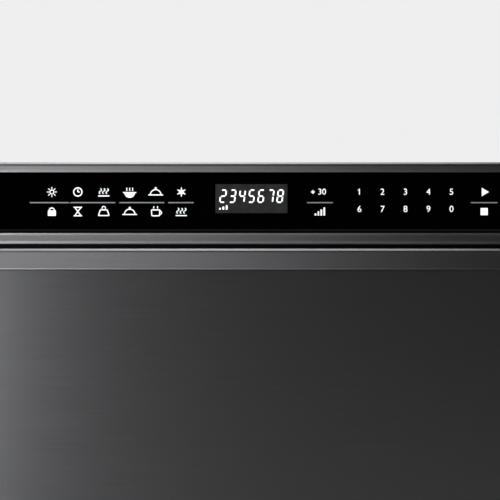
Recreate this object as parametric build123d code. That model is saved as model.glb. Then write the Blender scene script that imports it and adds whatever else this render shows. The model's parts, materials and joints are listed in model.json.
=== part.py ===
from build123d import *

import os
from math import acos, cos, pi, radians, sin, tan

# A built-in microwave drawer. X points right, Y to the rear and Z up, in millimetres.
# Z = 0 is the underside of the chassis, where it stands on its shelf. Y = 0 is the back of
# the mounting flange, which lies against the face of the cabinet. X = 0 is the middle.
# A reach is measured forward from the cabinet face, and a rise upward.

# ---------------------------------------------------------------- front, outside
front_width = 606.0
front_height = 402.0
front_drop = 8.0  # how far the front hangs below the shelf
panel_reach = 42.0  # the flat of the drawer panel
control_reach = 39.6  # the foremost line of the control strip
skin = 1.0  # black steel of the drawer front
reveal = 3.35  # gap above the drawer front
vent_reveal = 3.0  # gap below it
flange_gap = 3.0  # gap between the drawer front's edges and the mounting flange
panel_edge = 1.5

# The faces of the front's profiles from the top down: each one's height, and how far it
# comes forward on its way down.
upper_trim_faces = ((1.35, 0.83), (1.65, 0.27), (3.1, 0.85), (1.45, 0.5))
lower_trim_faces = ((1.5, 0.55), (4.45, 1.12), (1.9, 0.7), (0.5, -0.4))
panel_top_faces = ((1.5, 0.86), (1.3, 0.22), (11.9, 3.2), (0.9, 0.33), (0.6, -1.0))

control_height = 61.65
trim_wall = 2.5
trim_rear = 8.0  # reach of the trims' rear edges
end_cap_width = 2.0
end_cap_proud = 0.3
glass_reach = 37.7
glass_thickness = 3.5
glass_edge = 1.2  # bevel along the glass's lower edge
glass_groove = 1.7  # between the glass and the lower trim
glass_lap = 3.0
glass_leg = 1.5  # leg of the trims behind the glass

vent_trim_height = 19.0
vent_trim_reach = 30.0
vent_trim_wall = 1.2
vent_trim_bevel = 4.0
vent_slot_length = 18.0
vent_slot_height = 6.0
vent_slot_pitch = 25.0
vent_slot_count = 22

# ---------------------------------------------------------------- inside the control strip
housing_wall = 2.0
wire_slot_half = 60.0
wire_slot_rise = 12.0
wire_slot_height = 20.0
touch_board_inset = 71.0
touch_board_thickness = 1.6
display_width = 60.0
display_middle = 0.5
display_rise = 21.0
display_headroom = 14.5
display_depth = 9.0
display_tail_inset = 4.0
display_tail_depth = 3.0
display_tail_low = 2.0
display_tail_high = 6.0
board_reach = 14.0
board_thickness = 1.6
board_half = 150.0
boss_radius = 3.0
boss_low_inset = 10.0
boss_high_inset = 12.0
housing_bosses = (-142.0, 0.0, 142.0)
housing_ribs = (200.0, 250.0)
housing_rib_half = 1.0
housing_rib_front_gap = 6.0
board_low_inset = 6.0
board_high_inset = 8.0
board_plug_places = (-120.0, -90.0, 90.0)
board_plug_half = 9.0
board_plug_depth = 10.0
board_plug_low = 6.0
board_plug_high = 22.0
board_can_places = (-60.0, -44.0, 60.0)
board_can_radius = 5.0
board_can_depth = 9.0
board_can_drop = 12.0
processor_left = 20.0
processor_side = 24.0
processor_depth = 3.0
buzzer_left = -30.0
buzzer_width = 30.0
buzzer_depth = 8.0

# ---------------------------------------------------------------- chassis
chassis_inset = 24.0  # the front is wider than the chassis by this, left and right
chassis_top_drop = 22.0  # from the top of the front to the top of the chassis
chassis_depth = 552.0
sheet = 1.0  # casing, pans and cavity
frame_sheet = 1.5
flange_width = 17.0  # mounting flange outside the chassis, left and right
flange_top_gap = 6.0
flange_drop = 6.0
flange_screw_hole = 4.5
flange_screw_inset = 8.0
flange_screw_low = 45.0
flange_screw_rise = 270.0
pan_lip = 15.0
pan_rib_places = (-190.0, -120.0, -50.0, 60.0, 130.0, 190.0)
pan_rib_width = 12.0
pan_rib_height = 3.0
pan_rib_start = 130.0
pan_rib_rear_gap = 5.0
louvre_length = 80.0
louvre_width = 4.0
louvre_pitch = 10.0
louvre_count = 8
grille_count = 10
grille_near = 12.0  # from the fan's shroud to the openings in the rear panel
grille_far = 20.0  # from those openings to the side of the chassis
top_louvre_inset = 49.0
top_louvre_end = -60.0
frame_vent_places = (-200.0, -120.0, 120.0, 200.0)
frame_vent_length = 60.0
frame_vent_rise = 2.0
frame_vent_height = 7.0
rack_slot_gap = 3.0

# ---------------------------------------------------------------- case screws
screw_head_radius = 3.8
screw_head_height = 1.8
screw_shank_radius = 1.9
screw_length = 6.0
screw_rise = 9.0
side_screw_places = (60.0, 200.0, 350.0, 500.0)
rear_screw_places = (-220.0, -60.0, 60.0, 220.0)

# ---------------------------------------------------------------- cooking space
room_corner = 16.0
room_floor_bend = 6.0
drawer_wall = 1.0
drawer_rim = 4.0
tray_thickness = 5.0
tray_corner = 12.0
tray_edge_gap = 2.0
room_start = 2.0  # inner face of the drawer box's front wall
rim_side_gap = 3.0
rim_rear_gap = 6.0
box_floor_gap = 3.0
cover_gap = 5.0
cover_thickness = 1.5
stirrer_room = 19.5  # from the top of the stirrer cover to the cavity's ceiling
cavity_underside = 72.0
rear_room = 117.0  # from the cavity's rear wall to the back of the chassis

# ---------------------------------------------------------------- choke of the drawer front
choke_width = 24.0
choke_depth = 29.0
choke_rear = -4.0  # the choke's lip
choke_top_room = 16.0  # from the choke to the top of the drawer front
choke_lip = 11.0
choke_flange = 6.0
choke_slot = 3.0
choke_slot_inset = 2.0
choke_side_gap = 1.0  # all round the choke
choke_slot_margin = 41.0  # from a corner to the middle of the nearest slot
choke_slot_pitch = 30.0
choke_cover_thickness = 1.5
plug_gap = 3.0  # between the plug and the cavity
pan_plane = 11.0  # reach of the back of the drawer front's inner pan
pan_flange = 10.0
bumper_radius = 6.0
bumper_low_inset = 76.0  # from the foot of the drawer front to the lower pads
bumper_high_inset = 79.0  # from its top to the upper pads
fit_gap = 0.3  # between pieces that seat loosely or slide

# ---------------------------------------------------------------- telescopic rails
rail_centre = 150.0  # height of the rails' middle
rail_height = 45.0
rail_thickness = 12.7
rail_gauge = 1.2
rail_lip = 4.0
rail_start = 3.0
rail_rear_gap = 12.0
rail_tab = 16.0
rail_side_room = 11.3  # from a rail to the side of the chassis
rail_beside_choke = 3.0
rail_slot_gap = 1.0
bracket_sheet = 1.5
bracket_height = 185.0
bracket_foot = 20.0
bracket_start = 12.0
bracket_rear_gap = 5.0
bracket_window_length = 64.0
bracket_window_pitch = 100.0
bracket_window_count = 4
bracket_window_low = 28.0
bracket_window_high = 92.0

# ---------------------------------------------------------------- rack and gears
pressure_angle = 20.0
addendum = 0.8  # stub teeth, in modules
dedendum = 1.0
backlash = 0.24
rack_module = 2.5
gear_module = 2.0
pinion_teeth = 14
wheel_teeth = 28
rack_pitch_line = 7.0
rack_back = -7.0
rack_low = 16.0
rack_thickness = 12.0
rack_past_rail = 2.0
rack_foot_width = 40.0
rack_foot_height = 24.0
rack_foot_thickness = 3.0
rack_guide_wall = 2.7
rack_guide_floor = 3.0
rack_guide_gap = 4.0  # from the gearbox to the guide
rack_guide_past_rack = 3.0
rack_guide_rise = 2.0
pinion_y = 50.0
wheel_above_rack = 3.0
wheel_thickness = 6.0
wheel_step = 8.0  # from one layer of gears to the next
pinion_past_rack = 1.0
pinion_past_wheel = 0.5
motor_top_rise = 5.0  # the motor's top above the foot of the first wheel
second_shaft_angle = 30.0
motor_shaft_angle = -25.0
hub_radius = 7.0
pin_radius = 3.0
shaft_gap = 0.05
shaft_end_gap = 2.0
motor_radius = 18.0
motor_shaft_radius = 2.5
motor_shaft_depth = 20.0
motor_foot_radius = 6.0
motor_foot_height = 3.0
motor_tab_place = 8.0
motor_tab_length = 8.0
motor_tab_lap = 3.0
gearbox_sheet = 1.5
gearbox_floor = 8.0
gearbox_front = 8.0
gearbox_rear = 108.0
gearbox_left = 12.0
gearbox_right = 124.0
gearbox_riser_gap = 2.6
post_radius = 4.0

# ---------------------------------------------------------------- microwave feed
guide_width = 86.0
guide_height = 40.0
guide_sheet = 1.0
guide_flange = 9.0
guide_before_stirrer = 50.0
guide_past_magnetron = 4.0
guide_rear_lap = 8.0
stirrer_y = 215.0
feed_width = 80.0
antenna_rear_gap = 62.0
antenna_radius = 9.0
antenna_height = 24.0
antenna_hole_gap = 4.0
antenna_cap_step = 2.0
antenna_cap_height = 4.0
magnetron_width = 95.0
magnetron_length = 80.0
yoke_height = 74.0
yoke_sheet = 2.0
magnet_radius = 27.0
magnet_height = 15.0
anode_radius = 18.0
fin_count = 7
fin_pitch = 5.5
fin_thickness = 0.8
fin_inset = 3.0
filter_height = 34.0
filter_side_inset = 8.0
filter_front_inset = 6.0
filter_plug_width = 18.0
filter_plug_height = 16.0
filter_plug_rise = 8.0
filter_plug_proud = 6.0

# ---------------------------------------------------------------- stirrer
cover_half = 105.0
cover_corner = 10.0
hook_middle = 95.0
hook_width = 6.0
hook_length = 12.0
hook_spread = 80.0
vane_reaches = (62.0, 50.0, 62.0, 50.0)
vane_half_width = 11.0
vane_sheet = 1.2
vane_lip = 5.0
stirrer_hub_radius = 9.0
stirrer_hub_height = 7.0
stirrer_lift = 2.5  # the hub's underside above the cover
stirrer_hole_gap = 2.0  # round the shaft where it enters the waveguide
vane_above_middle = 0.5
vane_root_lap = 3.0
stirrer_shaft_radius = 3.0
stirrer_shaft_past_guide = 14.0
stirrer_motor_radius = 25.0
stirrer_motor_height = 18.0
stirrer_motor_ears = 72.0
stirrer_motor_plug = 9.0  # its plug stands this far out of the case
stirrer_motor_plug_inset = 4.0
ear_width = 16.0
ear_sheet = 1.5

# ---------------------------------------------------------------- high voltage
transformer_inset = 74.0  # from the left side of the chassis
transformer_width = 95.0
transformer_length = 90.0
transformer_height = 80.0
transformer_rear_gap = 13.0
core_inset = 20.0  # the coils stand out of the core by this, front and rear
coil_side_inset = 16.0
coil_corner = 14.0
primary_rises = (22.0, 40.0)
secondary_rises = (44.0, 64.0)
foot_sheet = 1.5
foot_reach = 8.0
coil_tab_places = (34.0, 60.0)
coil_tab_rise = 8.0
coil_tab_length = 7.0
tab_lap = 4.0
capacitor_gap = 44.0  # from the transformer's core to the capacitor's middle
capacitor_rear_gap = 74.0
capacitor_width = 52.0
capacitor_thickness = 32.0
capacitor_height = 92.0
strap_rise = 30.0
strap_height = 12.0
strap_sheet = 1.5
strap_foot_half = 12.0
strap_foot_length = 18.0
strap_lap = 2.0
terminal_place = 13.0
terminal_rise = 12.0
diode_gap = 46.0  # from the capacitor's middle to the diode
diode_radius = 4.5
diode_length = 22.0
lug_half = 6.0
lug_length = 11.0
lug_lap = 7.0
lug_corner = 5.0
tab_half = 3.0
tab_sheet = 1.0

# ---------------------------------------------------------------- fan
fan_rear_gap = 59.0
fan_drop = 50.0  # from the top of the cavity to the fan's axis
fan_radius = 44.0
shroud_gap = 2.0
shroud_x = 96.0
shroud_sheet = 3.0
shroud_above_axis = 55.0
collar_length = 25.0
collar_wall = 3.0
blade_count = 7
blade_chord = 24.0
blade_sheet = 1.4
blade_start = 4.0
blade_depth = 18.0
blade_root_pitch = 35.0
blade_tip_pitch = 52.0
hub_size = 12.0
fan_shaft_length = 24.0  # behind the collar
motor_strap_half = 8.0
motor_strap_sheet = 2.0
motor_core_half = 30.0
motor_core_start = 8.0  # from the collar
motor_core_end = 26.0
motor_core_trim = 6.0
motor_window_inset = 12.0
motor_window_low = 15.0
motor_window_high = 21.0
motor_coil_half = 16.0
motor_coil_end = 32.0
motor_coil_drop = 16.0
motor_coil_lap = 10.0
motor_coil_corner = 6.0
motor_bearing_radius = 10.0
duct_half = 49.0
duct_wall = 2.0
intake_inset = 129.0  # from the right side of the chassis to the middle of the openings
intake_count = 6
intake_pitch = 16.0
intake_width = 8.0
intake_front_gap = 20.0
intake_rear_gap = 17.0

# ---------------------------------------------------------------- lamp, boards and cut-outs
lamp_inset = 73.0  # from the cavity's right side to the lamp's holes
lamp_rise = 15.0
lamp_foot_place = 27.0  # from the lamp's middle to its holder
lamp_foot_length = 30.0
lamp_foot_half = 15.0
lamp_sheet = 1.2
socket_radius = 12.0
socket_length = 12.0
bulb_radius = 9.5
bulb_half = 9.0
bulb_cap_step = 3.0
bulb_cap_start = 5.0
bulb_cap_end = 15.0
perforation = 4.0
perforation_pitch = 9.0
perforation_count = 3
side_vent_y = 330.0
side_vent_pitch = 12.0
side_vent_count = 5
side_vent_drop = 64.0  # from the ceiling to the foot of the side openings
side_vent_height = 25.0
power_board_inset = 13.0
power_board_right = -75.0
power_board_front = 110.0
power_board_rear = 300.0
standoff_height = 10.0
standoff_radius = 3.0
standoff_inset = 7.0
board_margin = 10.0
supply_size = (40.0, 35.0, 28.0)  # width, length and height
supply_place = 20.0  # from the board's front edge
relay_size = (20.0, 16.0, 18.0)
relay_place = 80.0
relay_pitch = 30.0
relay_count = 3
reservoir_radius = 8.0
reservoir_height = 25.0
reservoir_place = 130.0
reservoir_pitch = 25.0
reservoir_count = 2
sink_width = 55.0
sink_half = 16.0
sink_height = 24.0
sink_place = 40.0
sink_base = 3.0
sink_fin_pitch = 7.0
sink_fin_count = 5
plug_size = (12.0, 12.0, 9.0)
plug_place = 25.0  # from the board's rear edge
plug_inset = 19.0
plug_pitch = 30.0
plug_count = 4
cutout_radius = 8.0
cutout_height = 8.0
cutout_flange = 1.0
cutout_flange_half = 15.0
cutout_flange_depth = 7.0
cutout_flange_corner = 6.0
cutout_x = 95.0
cutout_rear_gap = 55.0
yoke_cutout_x = 22.0

# ---------------------------------------------------------------- door switches
striker_x = 140.0
striker_rise = 11.0  # above the choke
striker_size = 6.0
striker_reach = 12.5
striker_foot_half = 14.0
striker_foot_sheet = 2.0
striker_slot_gap = 1.5
plunger_radius = 2.0
plunger_length = 10.0
plunger_proud = 4.0  # the plunger stands this far out of its switch
plunger_travel = 1.5
switch_bore_spare = 0.5
switch_width = 12.0
switch_length = 28.0
switch_height = 16.0
switch_terminals = (6.0, 15.0, 23.0)
terminal_height = 7.0
switch_shelf = 1.2
switch_shelf_half = 16.0
switch_shelf_above = 14.0

# ---------------------------------------------------------------- supply cord's bushing
cord_hole = 9.5
cord_bore = 4.5
cord_inset = 79.0
cord_drop = 42.0
bushing_brim = 3.5
bushing_brim_thickness = 3.0
bushing_barb = 1.5
bushing_barb_length = 4.0

# ================================================================ derived places
half_front = front_width / 2
half_chassis = half_front - chassis_inset
front_low = -front_drop
front_top = front_height - front_drop
chassis_height = front_top - chassis_top_drop
control_low = front_top - control_height
drawer_top = control_low - reveal
vent_top = front_low + vent_trim_height
drawer_low = vent_top + vent_reveal
back_plane = chassis_depth

upper_trim_height = sum(height for height, _ in upper_trim_faces)
lower_trim_height = sum(height for height, _ in lower_trim_faces)
trim_end = half_front - end_cap_width
glass_front = -glass_reach
glass_back = glass_front + glass_thickness
glass_high = front_top - upper_trim_height
glass_low = control_low + lower_trim_height + glass_groove
leg_back = glass_back + glass_leg
board_plane = -board_reach
display_left = display_middle - display_width / 2
display_right = display_middle + display_width / 2
display_low = control_low + display_rise
display_high = front_top - display_headroom

rail_x = half_chassis - rail_side_room - rail_thickness
choke_x = rail_x - rail_beside_choke
cavity_x = choke_x - choke_width  # inner faces of the cavity's sides
rim_x = cavity_x - rim_side_gap
box_x = rim_x - drawer_rim

cavity_rear = back_plane - rear_room
cavity_end = cavity_rear - sheet
rim_end = cavity_end - rim_rear_gap
room_end = rim_end - drawer_rim - drawer_wall

cavity_low = cavity_underside + sheet
box_low = cavity_low + box_floor_gap
tray_low = box_low + drawer_wall
tray_top = tray_low + tray_thickness
choke_high = drawer_top - choke_top_room
choke_low = cavity_low - choke_width
cavity_high = choke_high - choke_width
cavity_top = cavity_high + sheet
choke_out_x = choke_x - choke_side_gap
choke_out_low = choke_low + choke_side_gap
choke_out_high = choke_high - choke_side_gap
cover_top = cavity_high - stirrer_room
cover_low = cover_top - cover_thickness
room_top = cover_low - cover_gap

bumper_rises = (drawer_low + bumper_low_inset, drawer_top - bumper_high_inset)
striker_z = choke_high + striker_rise
switch_front = striker_reach + fit_gap + plunger_proud

rail_end = cavity_rear - rail_rear_gap
middle_in = rail_gauge + fit_gap
inner_in = 2 * middle_in

rack_front = -pan_plane
rack_end = rail_end + rack_past_rail
rack_top = rack_low + rack_thickness
rack_tips = rack_pitch_line + addendum * rack_module
rack_roots = rack_pitch_line - dedendum * rack_module
pinion_pitch = rack_module * pinion_teeth / 2
small_pitch = gear_module * pinion_teeth / 2
wheel_pitch = gear_module * wheel_teeth / 2
shaft_spacing = small_pitch + wheel_pitch
pinion_x = rack_pitch_line + pinion_pitch
second_x = pinion_x + shaft_spacing * cos(radians(second_shaft_angle))
second_y = pinion_y + shaft_spacing * sin(radians(second_shaft_angle))
motor_x = second_x + shaft_spacing * cos(radians(motor_shaft_angle))
motor_y = second_y + shaft_spacing * sin(radians(motor_shaft_angle))
first_wheel_low = rack_top + wheel_above_rack
second_wheel_low = first_wheel_low + wheel_step
gearbox_top = second_wheel_low + wheel_step
high_floor = first_wheel_low + motor_top_rise
hub_low = gearbox_floor + gearbox_sheet + fit_gap
hub_high = gearbox_top - fit_gap
shafts = ((pinion_x, pinion_y), (second_x, second_y))

transformer_left = -half_chassis + transformer_inset
capacitor_x = transformer_left + transformer_width + capacitor_gap
diode_x = capacitor_x + diode_gap
intake_middle = half_chassis - intake_inset

antenna_y = back_plane - antenna_rear_gap
magnetron_front = antenna_y - magnetron_length / 2
magnetron_rear = antenna_y + magnetron_length / 2
guide_front = stirrer_y - guide_before_stirrer
guide_end = magnetron_rear + guide_past_magnetron
guide_top = cavity_top + guide_height
fan_y = back_plane - fan_rear_gap
fan_z = cavity_top - fan_drop
shroud_bore = fan_radius + shroud_gap
collar_end = shroud_x + shroud_sheet + collar_length
lamp_x = cavity_x - lamp_inset
cord_x = -half_chassis + cord_inset
cord_z = chassis_height - cord_drop
screw_hole = screw_shank_radius + shaft_gap


# ================================================================ drawing helpers
def block(x0, x1, y0, y1, z0, z1):
    """A box between two corners."""
    size = Box(abs(x1 - x0), abs(y1 - y0), abs(z1 - z0))
    return Pos((x0 + x1) / 2, (y0 + y1) / 2, (z0 + z1) / 2) * size


def rod(axis, radius, u, v, start, end):
    """A round bar along an axis. u and v are its place in the other two, in X, Y, Z order."""
    middle = (start + end) / 2
    spots = {"x": (middle, u, v), "y": (u, middle, v), "z": (u, v, middle)}
    turns = {"x": Rot(0, 90, 0), "y": Rot(90, 0, 0), "z": Rot(0, 0, 0)}
    return Pos(*spots[axis]) * turns[axis] * Cylinder(radius, abs(end - start))


def along_x(points, x0, x1):
    """A (y, z) outline drawn out along X."""
    face = make_face(Polyline(*points, close=True))
    return extrude(Plane.YZ.offset(x0) * face, x1 - x0)


def along_y(points, y0, y1):
    """An (x, z) outline drawn out along Y."""
    face = make_face(Polyline(*points, close=True))
    return extrude(Plane.XZ.offset(-y1) * face, y1 - y0)


def along_z(points, z0, z1):
    """An (x, y) outline drawn out along Z."""
    face = make_face(Polyline(*points, close=True))
    return extrude(Plane.XY.offset(z0) * face, z1 - z0)


def rounded(x0, x1, y0, y1, z0, z1, corner):
    """An upright block with round vertical corners."""
    outline = RectangleRounded(x1 - x0, y1 - y0, corner)
    place = Pos((x0 + x1) / 2, (y0 + y1) / 2, z0)
    return place * extrude(outline, z1 - z0)


def steps(first, pitch, count):
    """count values, pitch apart."""
    return [first + pitch * i for i in range(count)]


def centred(pitch, count, middle=0.0):
    """count values, pitch apart, about a middle."""
    return steps(middle - pitch * (count - 1) / 2, pitch, count)


def fitted(start, end, pitch):
    """Evenly spaced values from start to end, about a pitch apart."""
    gaps = max(1, round((end - start) / pitch))
    return steps(start, (end - start) / gaps, gaps + 1)


def both_sides(shape):
    """The shape and its mirror image across the middle plane."""
    return shape + mirror(shape, Plane.YZ)


def forward(faces):
    """How far a front profile comes forward in all."""
    return sum(run for _, run in faces)


def down_profile(y, z, faces):
    """The (y, z) points of a front profile, from its top edge down."""
    points = [(y, z)]
    for height, run in faces:
        y, z = y - run, z - height
        points.append((y, z))
    return points


# ================================================================ toothed parts
def tooth_half_angle(radius, pitch_radius, teeth):
    """Half the angle that an involute tooth takes at a radius."""
    base = pitch_radius * cos(radians(pressure_angle))
    at_pitch = pi / (2 * teeth) - backlash / (4 * pitch_radius)
    roll = acos(min(1.0, base / radius))
    start = radians(pressure_angle)
    return at_pitch + (tan(start) - start) - (tan(roll) - roll)


def gear_rim(module, teeth, x, y, z0, z1, phase):
    """A spur gear with a tooth centred at the phase angle, in degrees."""
    pitch_radius = module * teeth / 2
    base = pitch_radius * cos(radians(pressure_angle))
    root = pitch_radius - dedendum * module
    tip = pitch_radius + addendum * module
    low = max(base, root)
    half_low = tooth_half_angle(low, pitch_radius, teeth)
    half_tip = tooth_half_angle(tip, pitch_radius, teeth)
    points = []
    for i in range(teeth):
        centre = radians(phase) + 2 * pi * i / teeth
        flank = [(root, -half_low), (low, -half_low), (tip, -half_tip)]
        if low == root:
            flank = flank[1:]
        flank = flank + [(r, -a) for r, a in reversed(flank)]
        for radius, angle in flank:
            points.append((x + radius * cos(centre + angle), y + radius * sin(centre + angle)))
    return along_z(points, z0, z1)


def rack_outline():
    """The rack from above: a straight back, and a gap of the teeth centred at the pinion."""
    pitch = pi * rack_module
    slope = tan(radians(pressure_angle))
    half_tooth = pitch / 4 - backlash / 4
    rise = addendum * rack_module
    fall = dedendum * rack_module
    first = int((rack_front - pinion_y) / pitch) + 1
    points = [(rack_back, rack_front), (rack_roots, rack_front)]
    centre = pinion_y + pitch * (first + 0.5)
    while centre + half_tooth + fall * slope < rack_end:
        points.append((rack_roots, centre - half_tooth - fall * slope))
        points.append((rack_tips, centre - half_tooth + rise * slope))
        points.append((rack_tips, centre + half_tooth - rise * slope))
        points.append((rack_roots, centre + half_tooth + fall * slope))
        centre += pitch
    points += [(rack_roots, rack_end), (rack_back, rack_end)]
    return points


# ================================================================ chassis
def side_screw_holes():
    ends = (-half_chassis - 1, half_chassis + 1)
    return [rod("x", screw_hole, v, screw_rise, *ends) for v in side_screw_places]


def rear_screw_holes():
    ends = (back_plane - 3 * sheet, back_plane + 1)
    return [rod("y", screw_hole, u, screw_rise, *ends) for u in rear_screw_places]


def base_pan():
    x = half_chassis - sheet
    end = back_plane - sheet
    top = sheet + pan_lip
    pan = block(-x, x, 0, end, 0, sheet)
    pan += both_sides(block(x - sheet, x, 0, end, 0, top))
    pan += block(-x, x, end - sheet, end, 0, top)
    half = pan_rib_width / 2
    rib_end = cavity_rear - pan_rib_rear_gap
    inner = half - pan_rib_height
    for u in pan_rib_places:
        pan += block(u - half, u + half, pan_rib_start, rib_end, sheet, sheet + pan_rib_height)
        pan -= block(u - inner, u + inner, pan_rib_start + inner, rib_end - inner, -1, pan_rib_height)
    slots = [block(u - intake_width / 2, u + intake_width / 2, cavity_rear + intake_front_gap,
                   back_plane - intake_rear_gap, -1, sheet + 1)
             for u in centred(intake_pitch, intake_count, intake_middle)]
    return pan - slots - side_screw_holes() - rear_screw_holes()


def louvre_rows():
    """The places of the long openings beside the fan, and half their width."""
    return centred(louvre_pitch, louvre_count, fan_y), louvre_width / 2


def outer_case():
    x = half_chassis
    top = chassis_height
    points = [(-x, 0), (-x, top), (x, top), (x, 0)]
    points += [(x - sheet, 0), (x - sheet, top - sheet), (-x + sheet, top - sheet), (-x + sheet, 0)]
    case = along_y(points, 0, back_plane - sheet)
    rows, half = louvre_rows()
    tall = louvre_length / 2
    side_slots = [block(-x - 1, x + 1, v - half, v + half, fan_z - tall, fan_z + tall) for v in rows]
    top_slots = [block(-x + top_louvre_inset, top_louvre_end, v - half, v + half, top - 2 * sheet, top + 1)
                 for v in rows]
    return case - side_slots - top_slots - side_screw_holes()


def rear_panel():
    x = half_chassis
    deep = (back_plane - 2 * sheet, back_plane + 1)
    panel = block(-x, x, back_plane - sheet, back_plane, 0, chassis_height)
    half = louvre_width / 2
    near, far = shroud_x + grille_near, x - grille_far
    panel -= [block(near, far, *deep, w - half, w + half)
              for w in centred(louvre_pitch, grille_count, fan_z)]
    panel -= rod("y", cord_hole, cord_x, cord_z, *deep)
    return panel - rear_screw_holes()


def case_screws():
    """The screws round the foot of the case, four on each side and four at the rear."""
    inside = half_chassis - screw_length
    outside = half_chassis + screw_head_height
    screws = []
    for v in side_screw_places:
        screw = rod("x", screw_shank_radius, v, screw_rise, inside, half_chassis)
        screw += rod("x", screw_head_radius, v, screw_rise, half_chassis, outside)
        screws += [screw, mirror(screw, Plane.YZ)]
    for u in rear_screw_places:
        screw = rod("y", screw_shank_radius, u, screw_rise, back_plane - screw_length, back_plane)
        screw += rod("y", screw_head_radius, u, screw_rise, back_plane, back_plane + screw_head_height)
        screws.append(screw)
    return Compound(children=screws)


def front_frame():
    x = half_chassis + flange_width
    plate = block(-x, x, -frame_sheet, 0, -flange_drop, front_top - flange_top_gap)
    deep = (-frame_sheet - 1, 1)
    cuts = [block(-cavity_x, cavity_x, *deep, cavity_low, cavity_high)]
    slot_in = rail_x + middle_in - rail_slot_gap
    slot_out = rail_x + rail_thickness - middle_in + rail_slot_gap
    slot_half = rail_height / 2 - middle_in + rail_slot_gap
    slot_ends = (rail_centre - slot_half, rail_centre + slot_half)
    slot = striker_size / 2 + striker_slot_gap
    for side in (-1, 1):
        cuts.append(block(side * slot_in, side * slot_out, *deep, *slot_ends))
        u = side * striker_x
        cuts.append(block(u - slot, u + slot, *deep, striker_z - slot, striker_z + slot))
        for w in (flange_screw_low, flange_screw_low + flange_screw_rise):
            cuts.append(rod("y", flange_screw_hole / 2, side * (x - flange_screw_inset), w, *deep))
    gap = rack_slot_gap
    cuts.append(block(rack_back - gap, rack_tips + gap, *deep, rack_low - gap, rack_top + gap))
    wires = control_low + wire_slot_rise
    cuts.append(block(-wire_slot_half, wire_slot_half, *deep, wires, wires + wire_slot_height))
    half = frame_vent_length / 2
    cuts += [block(u - half, u + half, *deep, frame_vent_rise, frame_vent_rise + frame_vent_height)
             for u in frame_vent_places]
    return plate - cuts


def oven_cavity():
    x = cavity_x + sheet
    shell = block(-x, x, 0, cavity_rear, cavity_underside, cavity_top)
    shell -= block(-cavity_x, cavity_x, -1, cavity_end, cavity_low, cavity_high)
    feed = feed_width / 2
    ceiling = (cavity_high - 1, cavity_top + 1)
    half = perforation / 2
    cuts = [block(-feed, feed, stirrer_y - feed, stirrer_y + feed, *ceiling)]
    cuts += [block(u - half, u + half, v - half, v + half, *ceiling)
             for u in centred(perforation_pitch, perforation_count, lamp_x)
             for v in centred(perforation_pitch, perforation_count, stirrer_y)]
    vent_low = cavity_high - side_vent_drop
    cuts += [block(-x - 1, -cavity_x + 1, v - half, v + half, vent_low, vent_low + side_vent_height)
             for v in centred(side_vent_pitch, side_vent_count, side_vent_y)]
    return shell - cuts


def cord_bushing():
    start = back_plane - sheet
    barb_start = start - bushing_barb_length
    brim_end = back_plane + bushing_brim_thickness
    bush = rod("y", cord_hole - shaft_gap, cord_x, cord_z, start, back_plane)
    bush += rod("y", cord_hole + bushing_brim, cord_x, cord_z, back_plane, brim_end)
    bush += rod("y", cord_hole + bushing_barb, cord_x, cord_z, barb_start, start)
    return bush - rod("y", cord_bore, cord_x, cord_z, barb_start - 1, brim_end + 1)


# ================================================================ microwave feed
def waveguide():
    x = guide_width / 2
    foot = x + guide_flange
    flange_front = guide_front - guide_flange
    flange_top = cavity_top + guide_sheet
    duct = block(-x, x, guide_front, guide_end, cavity_top, guide_top)
    duct -= block(-x + guide_sheet, x - guide_sheet, guide_front + guide_sheet, guide_end - guide_sheet,
                  cavity_top - 1, guide_top - guide_sheet)
    duct += both_sides(block(x - guide_sheet, foot, flange_front, guide_end, cavity_top, flange_top))
    duct += block(-foot, foot, flange_front, guide_front + guide_sheet, cavity_top, flange_top)
    duct += block(-x, x, cavity_rear - guide_rear_lap, guide_end, cavity_top, flange_top)
    duct -= rod("z", antenna_radius + antenna_hole_gap, 0, antenna_y, cavity_top - 1, flange_top + 1)
    shaft_hole = stirrer_shaft_radius + stirrer_hole_gap
    duct -= rod("z", shaft_hole, 0, stirrer_y, guide_top - guide_sheet - 1, guide_top + 1)
    return duct


def stirrer_cover():
    plate = rounded(-cover_half, cover_half, stirrer_y - cover_half, stirrer_y + cover_half,
                    cover_low, cover_top, cover_corner)
    half, length = hook_width / 2, hook_length / 2
    hooks = [block(u - half, u + half, v - length, v + length, cover_top, cavity_high)
             for u in (-hook_middle, hook_middle) for v in (stirrer_y - hook_spread, stirrer_y + hook_spread)]
    return plate + hooks


def stirrer():
    low = cover_top + stirrer_lift
    middle = low + stirrer_hub_height / 2
    vane_low = middle + vane_above_middle
    vane_high = vane_low + vane_sheet
    root = stirrer_hub_radius - vane_root_lap
    sides = (-vane_half_width, vane_half_width)
    fan = rod("z", stirrer_hub_radius, 0, 0, low, low + stirrer_hub_height)
    for i, reach in enumerate(vane_reaches):
        vane = block(root, reach, *sides, vane_low, vane_high)
        vane += block(reach - vane_sheet, reach, *sides, vane_low - vane_lip, vane_high)
        fan += Rot(0, 0, 360 / len(vane_reaches) * i) * vane
    fan += rod("z", stirrer_shaft_radius, 0, 0, middle, guide_top + stirrer_shaft_past_guide)
    return Pos(0, stirrer_y, 0) * fan


def stirrer_motor():
    low = guide_top
    half = stirrer_motor_ears / 2
    ear = ear_width / 2
    plug_rear = stirrer_y - stirrer_motor_radius / 2
    plug_front = stirrer_y - stirrer_motor_radius - stirrer_motor_plug
    inset = stirrer_motor_plug_inset
    motor = rod("z", stirrer_motor_radius, 0, stirrer_y, low, low + stirrer_motor_height)
    motor += rounded(-half, half, stirrer_y - ear, stirrer_y + ear, low, low + ear_sheet, ear - 0.1)
    motor += block(-ear, ear, plug_front, plug_rear, low + inset, low + stirrer_motor_height - inset)
    bore_top = low + stirrer_shaft_past_guide + shaft_end_gap
    return motor - rod("z", stirrer_shaft_radius + shaft_gap, 0, stirrer_y, low - 1, bore_top)


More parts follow.
